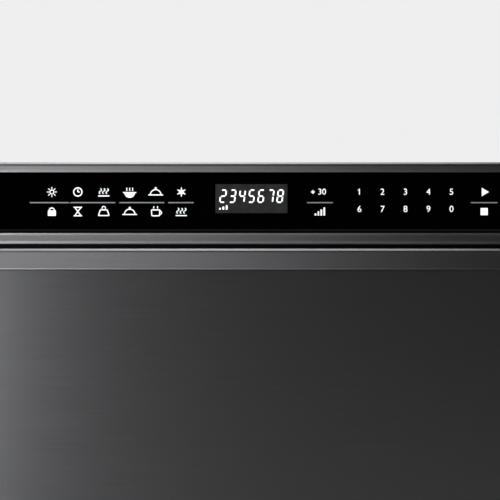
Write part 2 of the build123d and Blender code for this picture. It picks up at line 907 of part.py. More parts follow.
def magnetron():
    """Yoke, magnets, anode with its fins, antenna, and the filter box underneath."""
    x = magnetron_width / 2
    front, rear = magnetron_front, magnetron_rear
    top = cavity_top
    low = top - yoke_height
    t = yoke_sheet
    body = block(-x, x, front, rear, top - t, top)
    body += block(-x, x, front, rear, low, low + t)
    body += block(-x, x, front, front + t, low, top)
    body += block(-x, x, rear - t, rear, low, top)
    body += rod("z", magnet_radius, 0, antenna_y, top - magnet_height, top)
    body += rod("z", magnet_radius, 0, antenna_y, low, low + magnet_height)
    body += rod("z", anode_radius, 0, antenna_y, low, top)
    half = fin_thickness / 2
    body += [block(-x + fin_inset, x - fin_inset, front + 1, rear - 1, w - half, w + half)
             for w in centred(fin_pitch, fin_count, low + yoke_height / 2)]
    antenna_top = top + antenna_height
    body += rod("z", antenna_radius, 0, antenna_y, top - 1, antenna_top)
    body += rod("z", antenna_radius - antenna_cap_step, 0, antenna_y, top, antenna_top + antenna_cap_height)
    body += block(-x + filter_side_inset, x - filter_side_inset, front + filter_front_inset,
                  rear - filter_front_inset, low - filter_height, low)
    plug = filter_plug_width / 2
    plug_low = low - filter_height + filter_plug_rise
    plug_high = plug_low + filter_plug_height
    body += block(-plug, plug, front - filter_plug_proud, front + filter_front_inset + 1, plug_low, plug_high)
    return body


def high_voltage_transformer():
    x0, x1 = transformer_left, transformer_left + transformer_width
    y1 = back_plane - transformer_rear_gap
    y0 = y1 - transformer_length
    core_ends = (y0 + core_inset, y1 - core_inset)
    low = sheet
    foot_top = low + foot_sheet
    core = block(x0, x1, *core_ends, foot_top, foot_top + transformer_height)
    core += block(x0 - foot_reach, x1 + foot_reach, *core_ends, low, foot_top)
    inset = coil_side_inset
    for rise, end in (primary_rises, secondary_rises):
        core += rounded(x0 + inset, x1 - inset, y0, y1, low + rise, low + end, coil_corner)
    tab_low = low + primary_rises[0] + coil_tab_rise
    core += [block(x0 + u - tab_half, x0 + u + tab_half, y0 - coil_tab_length, y0 + tab_lap,
                   tab_low, tab_low + tab_sheet) for u in coil_tab_places]
    return core


def high_voltage_capacitor():
    x, y, low = capacitor_x, back_plane - capacitor_rear_gap, sheet
    width, thickness, t = capacitor_width, capacitor_thickness, strap_sheet
    can = Pos(x, y, low) * extrude(SlotOverall(width, thickness), capacitor_height)
    strap_low = low + strap_rise
    can += Pos(x, y, strap_low) * extrude(SlotOverall(width + 2 * t, thickness + 2 * t), strap_height)
    behind = y + thickness / 2
    foot = strap_foot_half
    can += block(x - foot, x + foot, behind - strap_lap, behind - strap_lap + strap_foot_length, low, low + t)
    can += block(x - foot, x + foot, behind - strap_lap, behind + t, low, strap_low + strap_height / 2)
    top = low + capacitor_height
    half = tab_sheet / 2
    can += [block(u - tab_half, u + tab_half, y - half, y + half, top - 2, top + terminal_rise)
            for u in (x - terminal_place, x + terminal_place)]
    return can


def high_voltage_diode():
    x, y, low = diode_x, back_plane - capacitor_rear_gap, sheet
    front = y - diode_length / 2
    lug = rounded(x - lug_half, x + lug_half, front - lug_length, front + lug_lap,
                  low, low + foot_sheet, lug_corner)
    return lug + rod("y", diode_radius, x, low + foot_sheet / 3 + diode_radius, front, front + diode_length)


# ================================================================ cooling air
def fan_shroud():
    x0, x1 = shroud_x, shroud_x + shroud_sheet
    plate = block(x0, x1, cavity_rear, back_plane - 2 * sheet, sheet, fan_z + shroud_above_axis)
    plate += rod("x", shroud_bore + collar_wall, fan_y, fan_z, x0, collar_end)
    return plate - rod("x", shroud_bore, fan_y, fan_z, x0 - 1, collar_end + 1)


def fan_blade():
    start = shroud_x + shroud_sheet + blade_start
    end = start + blade_depth
    middle = (start + end) / 2
    fan = rod("x", hub_size, 0, 0, start, end + 1)
    outline = Rectangle(blade_sheet, blade_chord)
    root, tip = [
        Plane((middle, 0, radius), x_dir=(1, 0, 0), z_dir=(0, 0, 1)) * Rot(0, 0, pitch) * outline
        for radius, pitch in ((hub_size - 2, blade_root_pitch), (fan_radius, blade_tip_pitch))
    ]
    blade = loft([root, tip], ruled=True)
    for i in range(blade_count):
        fan += Rot(360 / blade_count * i, 0, 0) * blade
    fan &= rod("x", fan_radius, 0, 0, start - 3, end + 3)
    fan += rod("x", motor_shaft_radius, 0, 0, end, collar_end + fan_shaft_length)
    return Pos(0, fan_y, fan_z) * fan


def fan_motor():
    face = collar_end
    reach = shroud_bore + collar_wall
    strap = motor_strap_half
    core = motor_core_half
    coil = motor_coil_half
    start, end = face + motor_strap_sheet, face + motor_coil_end
    core_start, core_end = face + motor_core_start, face + motor_core_end
    core_low, window = fan_z - core, core - motor_window_inset
    motor = block(face, start, fan_y - reach, fan_y + reach, fan_z - strap, fan_z + strap)
    motor += block(core_start, core_end, fan_y - core, fan_y + core, core_low + motor_core_trim, fan_z + core)
    motor -= block(core_start - 1, core_end + 1, fan_y - window, fan_y + window,
                   fan_z + motor_window_low, fan_z + motor_window_high)
    motor += rounded(start, end, fan_y - coil, fan_y + coil, core_low - motor_coil_drop,
                     core_low + motor_coil_lap, motor_coil_corner)
    motor += rod("x", motor_bearing_radius, fan_y, fan_z, start, end)
    bore_end = face + fan_shaft_length + shaft_end_gap
    return motor - rod("x", motor_shaft_radius + shaft_gap, fan_y, fan_z, face - 1, bore_end)


def air_duct():
    x0 = magnetron_width / 2 + fit_gap
    y0, y1 = fan_y - duct_half, fan_y + duct_half
    z0, z1 = fan_z - duct_half, fan_z + duct_half - 1
    duct = block(x0, shroud_x, y0, y1, z0, z1)
    t = duct_wall
    return duct - block(x0 - 1, shroud_x + 1, y0 + t, y1 - t, z0 + t, z1 - t)


# ================================================================ lamp, boards and cut-outs
def lamp_holder():
    low = cavity_top
    x0 = lamp_x + lamp_foot_place
    front, rear = stirrer_y - lamp_foot_half, stirrer_y + lamp_foot_half
    foot = block(x0, x0 + lamp_foot_length, front, rear, low, low + lamp_sheet)
    foot += block(x0, x0 + lamp_sheet, front, rear, low, low + 2 * lamp_rise)
    return foot + rod("x", socket_radius, stirrer_y, low + lamp_rise, x0 - socket_length, x0)


def oven_lamp():
    axis = cavity_top + lamp_rise
    bulb = rod("x", bulb_radius, stirrer_y, axis, lamp_x - bulb_half, lamp_x + bulb_half)
    bulb += Pos(lamp_x - bulb_half, stirrer_y, axis) * Sphere(bulb_radius)
    cap = (lamp_x + bulb_cap_start, lamp_x + bulb_cap_end)
    return bulb + rod("x", bulb_radius - bulb_cap_step, stirrer_y, axis, *cap)


def power_board():
    """The board on its stand-offs: supply transformer, relays, capacitors, heat sink and plugs."""
    left, right = -cavity_x + power_board_inset, power_board_right
    front, rear = power_board_front, power_board_rear
    low = cavity_top + standoff_height
    top = low + board_thickness
    board = block(left, right, front, rear, low, top)
    board += [rod("z", standoff_radius, u, v, cavity_top, low)
              for u in (left + standoff_inset, right - standoff_inset)
              for v in (front + standoff_inset, rear - standoff_inset)]
    near = left + board_margin
    wide, long, tall = supply_size
    start = front + supply_place
    board += block(near, near + wide, start, start + long, top, top + tall)
    wide, long, tall = relay_size
    start = front + relay_place
    board += [block(u, u + wide, start, start + long, top, top + tall)
              for u in steps(near, relay_pitch, relay_count)]
    board += [rod("z", reservoir_radius, u, front + reservoir_place, top, top + reservoir_height)
              for u in steps(near + board_margin, reservoir_pitch, reservoir_count)]
    far = right - board_margin
    middle = front + sink_place
    board += block(far - sink_width, far, middle - sink_half, middle + sink_half, top, top + sink_base)
    board += [block(far - sink_width, far, v - 1, v + 1, top, top + sink_height)
              for v in centred(sink_fin_pitch, sink_fin_count, middle)]
    wide, long, tall = plug_size
    start = rear - plug_place
    board += [block(u, u + wide, start, start + long, top, top + tall)
              for u in steps(left + plug_inset, plug_pitch, plug_count)]
    return board


def thermal_cutouts():
    """One on the cavity's ceiling and one on the magnetron, each a disc on a small flange."""
    half, depth, t = cutout_flange_half, cutout_flange_depth, cutout_flange
    x, y, low = cutout_x, cavity_rear - cutout_rear_gap, cavity_top
    ceiling = rod("z", cutout_radius, x, y, low + t, low + t + cutout_height)
    ceiling += rounded(x - half, x + half, y - depth, y + depth, low, low + t, cutout_flange_corner)
    x, y, z = yoke_cutout_x, magnetron_rear, cavity_top - yoke_height / 2
    yoke = rod("y", cutout_radius, x, z, y + t, y + t + cutout_height)
    yoke += block(x - half, x + half, y, y + t, z - depth, z + depth)
    return ceiling + yoke


# ================================================================ rails
def rail_bracket():
    x1 = rail_x
    x0 = x1 - bracket_sheet
    wall = cavity_x + sheet
    y0, y1 = bracket_start, cavity_rear - bracket_rear_gap
    bracket = block(x0, x1, y0, y1, sheet, bracket_height)
    bracket += block(x0 - bracket_foot, x0, y0, y1, sheet, sheet + bracket_sheet)
    bracket += block(wall, x0, y0, y1, bracket_height - bracket_sheet, bracket_height)
    half = bracket_window_length / 2
    windows = [block(x0 - 1, x1 + 1, v - half, v + half, bracket_window_low, bracket_window_high)
               for v in centred(bracket_window_pitch, bracket_window_count, (y0 + y1) / 2)]
    return bracket - windows


def channel(inset, mouth, lip):
    """A C-shaped rail member, open away from the cavity, nested by its inset."""
    x0 = rail_x + inset
    x1 = rail_x + rail_thickness - mouth
    half = rail_height / 2 - inset
    gauge = rail_gauge
    upper = [(x0, half), (x1, half), (x1, half - gauge - lip), (x1 - gauge, half - gauge - lip)]
    upper += [(x1 - gauge, half - gauge), (x0 + gauge, half - gauge)]
    lower = [(u, -w) for u, w in reversed(upper)]
    return [(u, rail_centre + w) for u, w in upper + lower]


def rail_outer():
    return along_y(channel(0, 0, rail_lip), rail_start, rail_end)


def rail_middle():
    return along_y(channel(middle_in, middle_in, rail_lip), rail_start, rail_end)


def rail_inner():
    bar = along_y(channel(inner_in, inner_in, rail_lip), -pan_plane, rail_end)
    x0 = rail_x + inner_in
    half = rail_height / 2 - inner_in
    tab = block(x0, x0 + rail_gauge + rail_tab, -pan_plane, -pan_plane + rail_gauge,
                rail_centre - half, rail_centre + half)
    return bar + tab


# ================================================================ drive
def drive_rack():
    rack = along_z(rack_outline(), rack_low, rack_top)
    middle = (rack_back + rack_pitch_line) / 2
    half = rack_foot_width / 2
    foot = block(middle - half, middle + half, rack_front, rack_front + rack_foot_thickness,
                 rack_low, rack_low + rack_foot_height)
    return rack + foot


def rack_guide():
    y0 = gearbox_rear + rack_guide_gap
    y1 = rack_end + rack_guide_past_rack
    top = rack_top + rack_guide_rise
    wall = rack_guide_wall
    left = rack_back - fit_gap
    right = rack_tips + fit_gap
    floor_top = rack_low - fit_gap
    guide = block(left - wall, left, y0, y1, sheet, top)
    guide += block(right, right + wall, y0, y1, sheet, top)
    guide += block(left - wall, right + wall, y0, y1, floor_top - rack_guide_floor, floor_top)
    return guide


def drive_gear():
    """The rack's pinion and the first wheel, on one hub."""
    past = pinion_past_rack
    gear = gear_rim(rack_module, pinion_teeth, pinion_x, pinion_y, rack_low - past, rack_top + past, 180)
    gear += gear_rim(gear_module, wheel_teeth, pinion_x, pinion_y, first_wheel_low,
                     first_wheel_low + wheel_thickness, second_shaft_angle)
    gear += rod("z", hub_radius, pinion_x, pinion_y, hub_low, hub_high)
    return gear - rod("z", pin_radius + shaft_gap, pinion_x, pinion_y, hub_low - 1, hub_high + 1)


def intermediate_gear():
    gap = 180.0 / pinion_teeth
    small = gear_rim(gear_module, pinion_teeth, second_x, second_y, first_wheel_low - pinion_past_wheel,
                     second_wheel_low, second_shaft_angle + 180 + gap)
    large = gear_rim(gear_module, wheel_teeth, second_x, second_y, second_wheel_low,
                     second_wheel_low + wheel_thickness, motor_shaft_angle)
    gear = small + large + rod("z", hub_radius, second_x, second_y, hub_low, hub_high)
    return gear - rod("z", pin_radius + shaft_gap, second_x, second_y, hub_low - 1, hub_high + 1)


def motor_pinion():
    gap = 180.0 / pinion_teeth
    low = second_wheel_low - pinion_past_wheel
    high = second_wheel_low + wheel_thickness + pinion_past_wheel
    gear = gear_rim(gear_module, pinion_teeth, motor_x, motor_y, low, high, motor_shaft_angle + 180 + gap)
    shaft_low = high_floor - motor_shaft_depth
    return gear + rod("z", motor_shaft_radius, motor_x, motor_y, shaft_low, second_wheel_low)


def drive_motor():
    top = high_floor
    low = sheet + motor_foot_height
    motor = rod("z", motor_radius, motor_x, motor_y, low, top)
    motor += rod("z", motor_foot_radius, motor_x, motor_y, sheet, low)
    edge = motor_y + motor_radius
    tab_low = low + 2 * tab_sheet
    motor += [block(u - tab_half, u + tab_half, edge - motor_tab_lap, edge + motor_tab_length,
                    tab_low, tab_low + tab_sheet)
              for u in (motor_x - motor_tab_place, motor_x + motor_tab_place)]
    bore_low = top - motor_shaft_depth - shaft_end_gap
    return motor - rod("z", motor_shaft_radius + shaft_gap, motor_x, motor_y, bore_low, top + 1)


def gearbox_base():
    """A stepped bracket: a low shelf under the gears and a high one over the motor."""
    riser = motor_x - motor_radius - gearbox_riser_gap
    t = gearbox_sheet
    left, right = gearbox_left, gearbox_right
    front, rear = gearbox_front, gearbox_rear
    shelf = block(left, riser, front, rear, gearbox_floor, gearbox_floor + t)
    shelf += block(riser - t, riser, front, rear, gearbox_floor, high_floor + t)
    shelf += block(riser - t, right, front, rear, high_floor, high_floor + t)
    for v in (front, rear - t):
        shelf += block(left, riser, v, v + t, sheet, gearbox_floor)
    shelf += block(right - t, right, front, rear, sheet, high_floor)
    floor = gearbox_floor + t
    for x, y in shafts:
        shelf += rod("z", pin_radius, x, y, floor - 1, gearbox_top + gearbox_sheet)
    for y in (front + post_radius, rear - post_radius):
        shelf += rod("z", post_radius, left + post_radius, y, floor, gearbox_top)
        shelf += rod("z", post_radius, right - post_radius, y, high_floor + t, gearbox_top)
    return shelf - rod("z", motor_foot_radius, motor_x, motor_y, high_floor - 1, high_floor + t + 1)


def gearbox_cover():
    top = gearbox_top + gearbox_sheet
    plate = block(gearbox_left, gearbox_right, gearbox_front, gearbox_rear, gearbox_top, top)
    for x, y in shafts:
        plate -= rod("z", pin_radius + shaft_gap, x, y, gearbox_top - 1, top + 1)
    return plate


# ================================================================ door switches
def interlock_brackets():
    t = switch_shelf
    shelf = striker_z - switch_height / 2 - t
    near, far = striker_x - switch_shelf_half, striker_x + switch_shelf_half
    slot = striker_size / 2 + striker_slot_gap
    bracket = block(near, far, 0, t, shelf, striker_z + switch_shelf_above)
    bracket += block(near, far, 0, switch_front + switch_length + 1, shelf, shelf + t)
    bracket -= block(striker_x - slot, striker_x + slot, -1, t + 1, striker_z - slot, striker_z + slot)
    return both_sides(bracket)


def interlock_switches():
    low, high = striker_z - switch_height / 2, striker_z + switch_height / 2
    half = switch_width / 2
    front = switch_front
    body = block(striker_x - half, striker_x + half, front, front + switch_length, low, high)
    body += [block(striker_x - tab_half, striker_x + tab_half, front + v, front + v + tab_sheet,
                   high, high + terminal_height) for v in switch_terminals]
    bore = plunger_length - plunger_proud + plunger_travel + switch_bore_spare
    body -= rod("y", plunger_radius + shaft_gap, striker_x, striker_z, front - 1, front + bore)
    return both_sides(body)


def switch_plunger():
    start = switch_front - plunger_proud
    return rod("y", plunger_radius, striker_x, striker_z, start, start + plunger_length)


def interlock_strikers():
    half = striker_size / 2
    foot = striker_foot_half
    x, back = striker_x, -pan_plane
    bar = block(x - half, x + half, back, striker_reach, striker_z - half, striker_z + half)
    foot_low = choke_out_high + choke_flange + fit_gap
    bar += block(x - foot, x + foot, back, back + striker_foot_sheet, foot_low, drawer_top - skin)
    return both_sides(bar)


# ================================================================ control strip
def upper_trim():
    start = -control_reach + forward(upper_trim_faces)
    points = [(-trim_rear, front_top)] + down_profile(start, front_top, upper_trim_faces)
    points += [(glass_back, glass_high), (glass_back, glass_high - glass_lap)]
    points += [(leg_back, glass_high - glass_lap), (leg_back, front_top - trim_wall)]
    points += [(-trim_rear, front_top - trim_wall)]
    return along_x(points, -trim_end, trim_end)


def lower_trim():
    low = control_low
    top = low + lower_trim_height
    start = -control_reach + forward(lower_trim_faces[:-1])
    points = [(glass_back, top)] + down_profile(start, top, lower_trim_faces)
    points += [(-trim_rear, low), (-trim_rear, low + trim_wall), (leg_back, low + trim_wall)]
    points += [(leg_back, glass_low + glass_lap), (glass_back, glass_low + glass_lap)]
    return along_x(points, -trim_end, trim_end)


def control_glass():
    points = [(glass_back, glass_high), (glass_front, glass_high), (glass_front, glass_low + glass_edge)]
    points += [(glass_front + glass_edge, glass_low), (glass_back, glass_low)]
    return along_x(points, -trim_end, trim_end)


def touch_board():
    half = trim_end - touch_board_inset
    back = glass_back + touch_board_thickness
    gap = fit_gap
    board = block(-half, half, glass_back, back, glass_low + glass_lap, glass_high - glass_lap)
    return board - block(display_left - gap, display_right + gap, glass_back - 1, back + 1,
                         display_low - gap, display_high + gap)


def display_module():
    back = glass_back + display_depth
    module = block(display_left, display_right, glass_back, back, display_low, display_high)
    left, right = display_left + display_tail_inset, display_right - display_tail_inset
    low, high = display_low + display_tail_low, display_low + display_tail_high
    return module + block(left, right, back, back + display_tail_depth, low, high)


def control_housing():
    low = control_low + trim_wall
    high = front_top - trim_wall
    wall = housing_wall
    back = -frame_sheet
    shell = block(-trim_end, trim_end, leg_back, back, low, high)
    shell -= block(-trim_end + wall, trim_end - wall, leg_back - 1, back - wall, low + wall, high - wall)
    wires = control_low + wire_slot_rise
    shell -= block(-wire_slot_half, wire_slot_half, back - wall - 1, 0, wires, wires + wire_slot_height)
    shell += [rod("y", boss_radius, u, w, board_plane + board_thickness, back - wall)
              for u in housing_bosses for w in (control_low + boss_low_inset, front_top - boss_high_inset)]
    half = housing_rib_half
    rib_front = leg_back + housing_rib_front_gap
    shell += [block(side * u - half, side * u + half, rib_front, back - wall, low + 1, high - 1)
              for side in (-1, 1) for u in housing_ribs]
    return shell


def control_board():
    """The board, with plugs and capacitors on its front."""
    low = control_low + board_low_inset
    high = front_top - board_high_inset
    plane = board_plane
    half = board_plug_half
    board = block(-board_half, board_half, plane, plane + board_thickness, low, high)
    plug_ends = (low + board_plug_low, low + board_plug_high)
    board += [block(u - half, u + half, plane - board_plug_depth, plane, *plug_ends)
              for u in board_plug_places]
    board += [rod("y", board_can_radius, u, high - board_can_drop, plane - board_can_depth, plane)
              for u in board_can_places]
    start = low + board_plug_low
    left, side = processor_left, processor_side
    board += block(left, left + side, plane - processor_depth, plane, start, start + side)
    left, side = buzzer_left, buzzer_width
    board += block(left, left + side, plane - buzzer_depth, plane, start, start + board_can_radius)
    return board


def control_end_caps():
    face = -control_reach - end_cap_proud
    start = face + forward(upper_trim_faces)
    points = [(-frame_sheet, front_top)] + down_profile(start, front_top, upper_trim_faces)
    height, run = lower_trim_faces[-1]
    points += [(face, control_low + height), (face - run, control_low), (-frame_sheet, control_low)]
    return both_sides(along_x(points, trim_end, half_front))


def bottom_trim():
    wall = vent_trim_wall
    bevel = vent_trim_bevel
    back = -frame_sheet
    face = -vent_trim_reach
    low, high = front_low, vent_top
    outer = [(back, low), (face + bevel, low), (face, low + bevel), (face, high), (back, high)]
    inner_bevel = bevel + wall / 2
    inner = [(back + 1, low + wall), (face + inner_bevel, low + wall), (face + wall, low + inner_bevel)]
    inner += [(face + wall, high - wall), (back + 1, high - wall)]
    trim = along_x(outer, -half_front, half_front) - along_x(inner, -half_front + wall, half_front - wall)
    half, tall = vent_slot_length / 2, vent_slot_height / 2
    middle = (low + bevel + high) / 2
    slots = [block(u - half, u + half, face - 1, face + 2, middle - tall, middle + tall)
             for u in centred(vent_slot_pitch, vent_slot_count)]
    return trim - slots


# ================================================================ drawer
def drawer_front_skin():
    face = -panel_reach
    back = -frame_sheet - flange_gap
    top, low, edge, t = drawer_top, drawer_low, panel_edge, skin
    start = face + forward(panel_top_faces)
    front = down_profile(start, top, panel_top_faces)
    outer = [(back, top)] + front + [(face, low + edge), (face + edge, low), (back, low)]
    inner = [(back + 1, top - t), (start + t, top - t)] + [(y + t, z) for y, z in front[1:]]
    inner += [(face + t, low + edge + t), (face + edge + t, low + t), (back + 1, low + t)]
    return along_x(outer, -half_front, half_front) - along_x(inner, -half_front + t, half_front - t)


def drawer_front_pan():
    x = half_front - skin
    low, high = drawer_low + skin, drawer_top - skin
    back = -pan_plane
    front = back - skin - pan_flange
    pan = block(-x, x, front, back, low, high)
    pan -= block(-x + skin, x - skin, front - 1, back - skin, low + skin, high - skin)
    return pan - block(-choke_out_x, choke_out_x, back - skin - 1, back + 1, choke_out_low, choke_out_high)


def choke_frame():
    """The folded choke round the opening, with the plug that carries the drawer box."""
    out_x, out_low, out_high = choke_out_x, choke_out_low, choke_out_high
    in_x, in_low, in_high = cavity_x - plug_gap, cavity_low + plug_gap, cavity_high - plug_gap
    t = sheet
    front = choke_rear - choke_depth
    plug_face = room_start - drawer_wall
    shell = block(-out_x, out_x, front, choke_rear, out_low, out_high)
    shell -= block(-out_x + t, out_x - t, front + t, choke_rear + 1, out_low + t, out_high - t)
    shell += block(-in_x, in_x, front, plug_face, in_low, in_high)
    shell -= block(-in_x + t, in_x - t, front - 1, plug_face - t, in_low + t, in_high - t)
    lip = block(-out_x, out_x, choke_rear - t, choke_rear, out_low, out_high)
    deep = (choke_rear - 2 * t, choke_rear + t)
    lip -= block(-out_x + choke_lip, out_x - choke_lip, *deep, out_low + choke_lip, out_high - choke_lip)
    half = choke_slot / 2
    reach = choke_lip - choke_slot_inset
    margin, pitch = choke_slot_margin, choke_slot_pitch
    for u in fitted(-out_x + margin, out_x - margin, pitch):
        for w in (out_low + choke_lip - reach, out_high - choke_lip):
            lip -= block(u - half, u + half, *deep, w, w + reach)
    for w in fitted(out_low + margin, out_high - margin, pitch):
        for u in (-out_x + choke_lip - reach, out_x - choke_lip):
            lip -= block(u, u + reach, *deep, w - half, w + half)
    brim = choke_flange
    rim = block(-out_x - brim, out_x + brim, -pan_plane, -pan_plane + t, out_low - brim, out_high + brim)
    rim -= block(-out_x + t, out_x - t, -pan_plane - 1, -pan_plane + t + 1, out_low + t, out_high - t)
    return shell + lip + rim


def choke_cover():
    gap = plug_gap - fit_gap
    out_x, out_low, out_high = choke_out_x, choke_out_low, choke_out_high
    in_x, in_low, in_high = cavity_x - gap, cavity_low + gap, cavity_high - gap
    back = choke_rear + choke_cover_thickness
    ring = block(-out_x, out_x, choke_rear, back, out_low, out_high)
    return ring - block(-in_x, in_x, choke_rear - 1, back + 1, in_low, in_high)


def drawer_box():
    y0, y1 = room_start - drawer_wall, room_end + drawer_wall
    t = drawer_wall
    outer = rounded(-box_x, box_x, y0, y1, box_low, room_top, room_corner)
    outer = fillet(outer.edges().group_by(Axis.Z)[0], room_floor_bend)
    inner = rounded(-box_x + t, box_x - t, y0 + t, y1 - t, box_low + t, room_top + t, room_corner - t)
    inner = fillet(inner.edges().group_by(Axis.Z)[0], room_floor_bend - t)
    rim = rounded(-rim_x, rim_x, y0, rim_end, room_top - t, room_top, room_corner)
    return (outer + rim) - inner


def glass_tray():
    edge = room_floor_bend + tray_edge_gap
    x = box_x - drawer_wall - edge
    return rounded(-x, x, room_start + edge, room_end - edge, tray_low, tray_top, tray_corner)


def bumper_pads():
    x = half_chassis + flange_width - flange_screw_inset
    back = -frame_sheet - fit_gap
    low, high = [rod("y", bumper_radius, x, w, -pan_plane, back) for w in bumper_rises]
    return both_sides(low + high)


# ================================================================ writing the pieces
single = [
    base_pan, outer_case, rear_panel, case_screws, front_frame, oven_cavity, cord_bushing, waveguide,
    stirrer_cover, stirrer, stirrer_motor, magnetron, high_voltage_transformer, high_voltage_capacitor,
    high_voltage_diode, fan_shroud, fan_blade, fan_motor, air_duct, lamp_holder, oven_lamp, power_board,
    thermal_cutouts, drive_rack, rack_guide, drive_gear, intermediate_gear, motor_pinion, drive_motor,
    gearbox_base, gearbox_cover, interlock_brackets, interlock_switches, interlock_strikers,
    upper_trim, lower_trim, control_glass, touch_board, display_module, control_housing,
    control_board, control_end_caps, bottom_trim, drawer_front_skin, drawer_front_pan, choke_frame,
    choke_cover, drawer_box, glass_tray, bumper_pads,
]
paired = [rail_bracket, rail_outer, rail_middle, rail_inner, switch_plunger]

os.makedirs("parts", exist_ok=True)
for make in single:
    export_step(make(), f"parts/{make.__name__}.step")
for make in paired:
    piece = make()
    export_step(piece, f"parts/{make.__name__}_right.step")
    export_step(mirror(piece, Plane.YZ), f"parts/{make.__name__}_left.step")
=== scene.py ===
import json
from math import cos, pi, radians, sin

import bpy
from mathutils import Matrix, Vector


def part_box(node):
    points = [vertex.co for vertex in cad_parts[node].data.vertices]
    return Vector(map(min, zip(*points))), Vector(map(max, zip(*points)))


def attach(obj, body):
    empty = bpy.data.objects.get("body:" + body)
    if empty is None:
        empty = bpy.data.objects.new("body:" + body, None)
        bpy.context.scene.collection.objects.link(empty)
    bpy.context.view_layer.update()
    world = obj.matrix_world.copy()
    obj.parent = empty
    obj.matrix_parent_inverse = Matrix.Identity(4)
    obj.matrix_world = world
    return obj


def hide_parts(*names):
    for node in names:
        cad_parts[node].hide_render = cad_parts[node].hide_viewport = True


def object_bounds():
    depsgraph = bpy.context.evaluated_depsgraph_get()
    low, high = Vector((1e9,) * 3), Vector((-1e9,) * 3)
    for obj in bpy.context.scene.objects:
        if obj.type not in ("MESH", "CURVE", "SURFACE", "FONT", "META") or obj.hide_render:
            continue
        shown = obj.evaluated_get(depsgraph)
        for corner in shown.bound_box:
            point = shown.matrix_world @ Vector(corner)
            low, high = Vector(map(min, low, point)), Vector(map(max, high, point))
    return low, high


# The looks of a microwave drawer: its finishes, printing, display and fixings, in a pale studio.
# Metres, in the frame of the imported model. X points right, Y to the rear and Z up.

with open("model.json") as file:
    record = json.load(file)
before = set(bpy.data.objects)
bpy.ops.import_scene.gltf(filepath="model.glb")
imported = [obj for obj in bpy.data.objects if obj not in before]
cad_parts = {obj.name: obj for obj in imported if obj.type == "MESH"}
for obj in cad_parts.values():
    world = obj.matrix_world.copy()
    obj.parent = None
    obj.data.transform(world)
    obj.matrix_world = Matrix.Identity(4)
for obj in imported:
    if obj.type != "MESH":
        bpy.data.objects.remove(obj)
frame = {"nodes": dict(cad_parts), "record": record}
cad_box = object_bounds()
nodes = frame["nodes"]
mm = 0.001


# ================================================================ making a finish
class Nodes:
    """The node tree of a material or of the world, and what is often put in it."""

    def __init__(self, holder):
        holder.use_nodes = True
        self.tree = holder.node_tree

    def node(self, kind, **settings):
        made = self.tree.nodes.new("ShaderNode" + kind)
        for name, value in settings.items():
            setattr(made, name, value)
        return made

    def join(self, source, target):
        self.tree.links.new(source, target)

    def levels(self, source, before, after):
        """A pattern taken from one range of values to another."""
        made = self.node("MapRange")
        for socket, value in zip(("From Min", "From Max", "To Min", "To Max"), (*before, *after)):
            made.inputs[socket].default_value = value
        self.join(source, made.inputs["Value"])
        return made.outputs["Result"]

    def sums(self, operation, a, b):
        """Two patterns, or a pattern and a number, put together."""
        made = self.node("Math", operation=operation)
        for socket, value in zip(made.inputs, (a, b)):
            if isinstance(value, (int, float)):
                socket.default_value = value
            else:
                self.join(value, socket)
        return made.outputs["Value"]

    def shades(self, source, *stops):
        """Colours by how strong a pattern is. A stop is (strength, colour)."""
        ramp = self.node("ValToRGB")
        marks = ramp.color_ramp.elements
        while len(marks) < len(stops):
            marks.new(0.5)
        for mark, (strength, colour) in zip(marks, stops):
            mark.position = strength
            mark.color = (*colour, 1.0)
        self.join(source, ramp.inputs["Fac"])
        return ramp.outputs["Color"]

    def mixed(self, factor, a, b):
        """Colour a where the factor is 0, and b where it is 1."""
        made = self.node("Mix", data_type="RGBA")
        self.join(factor, made.inputs["Factor"])
        for socket, value in (("A", a), ("B", b)):
            target = [s for s in made.inputs if s.name == socket and s.type == "RGBA"][0]
            if isinstance(value, tuple):
                target.default_value = (*value, 1.0)
            else:
                self.join(value, target)
        return [s for s in made.outputs if s.type == "RGBA"][0]


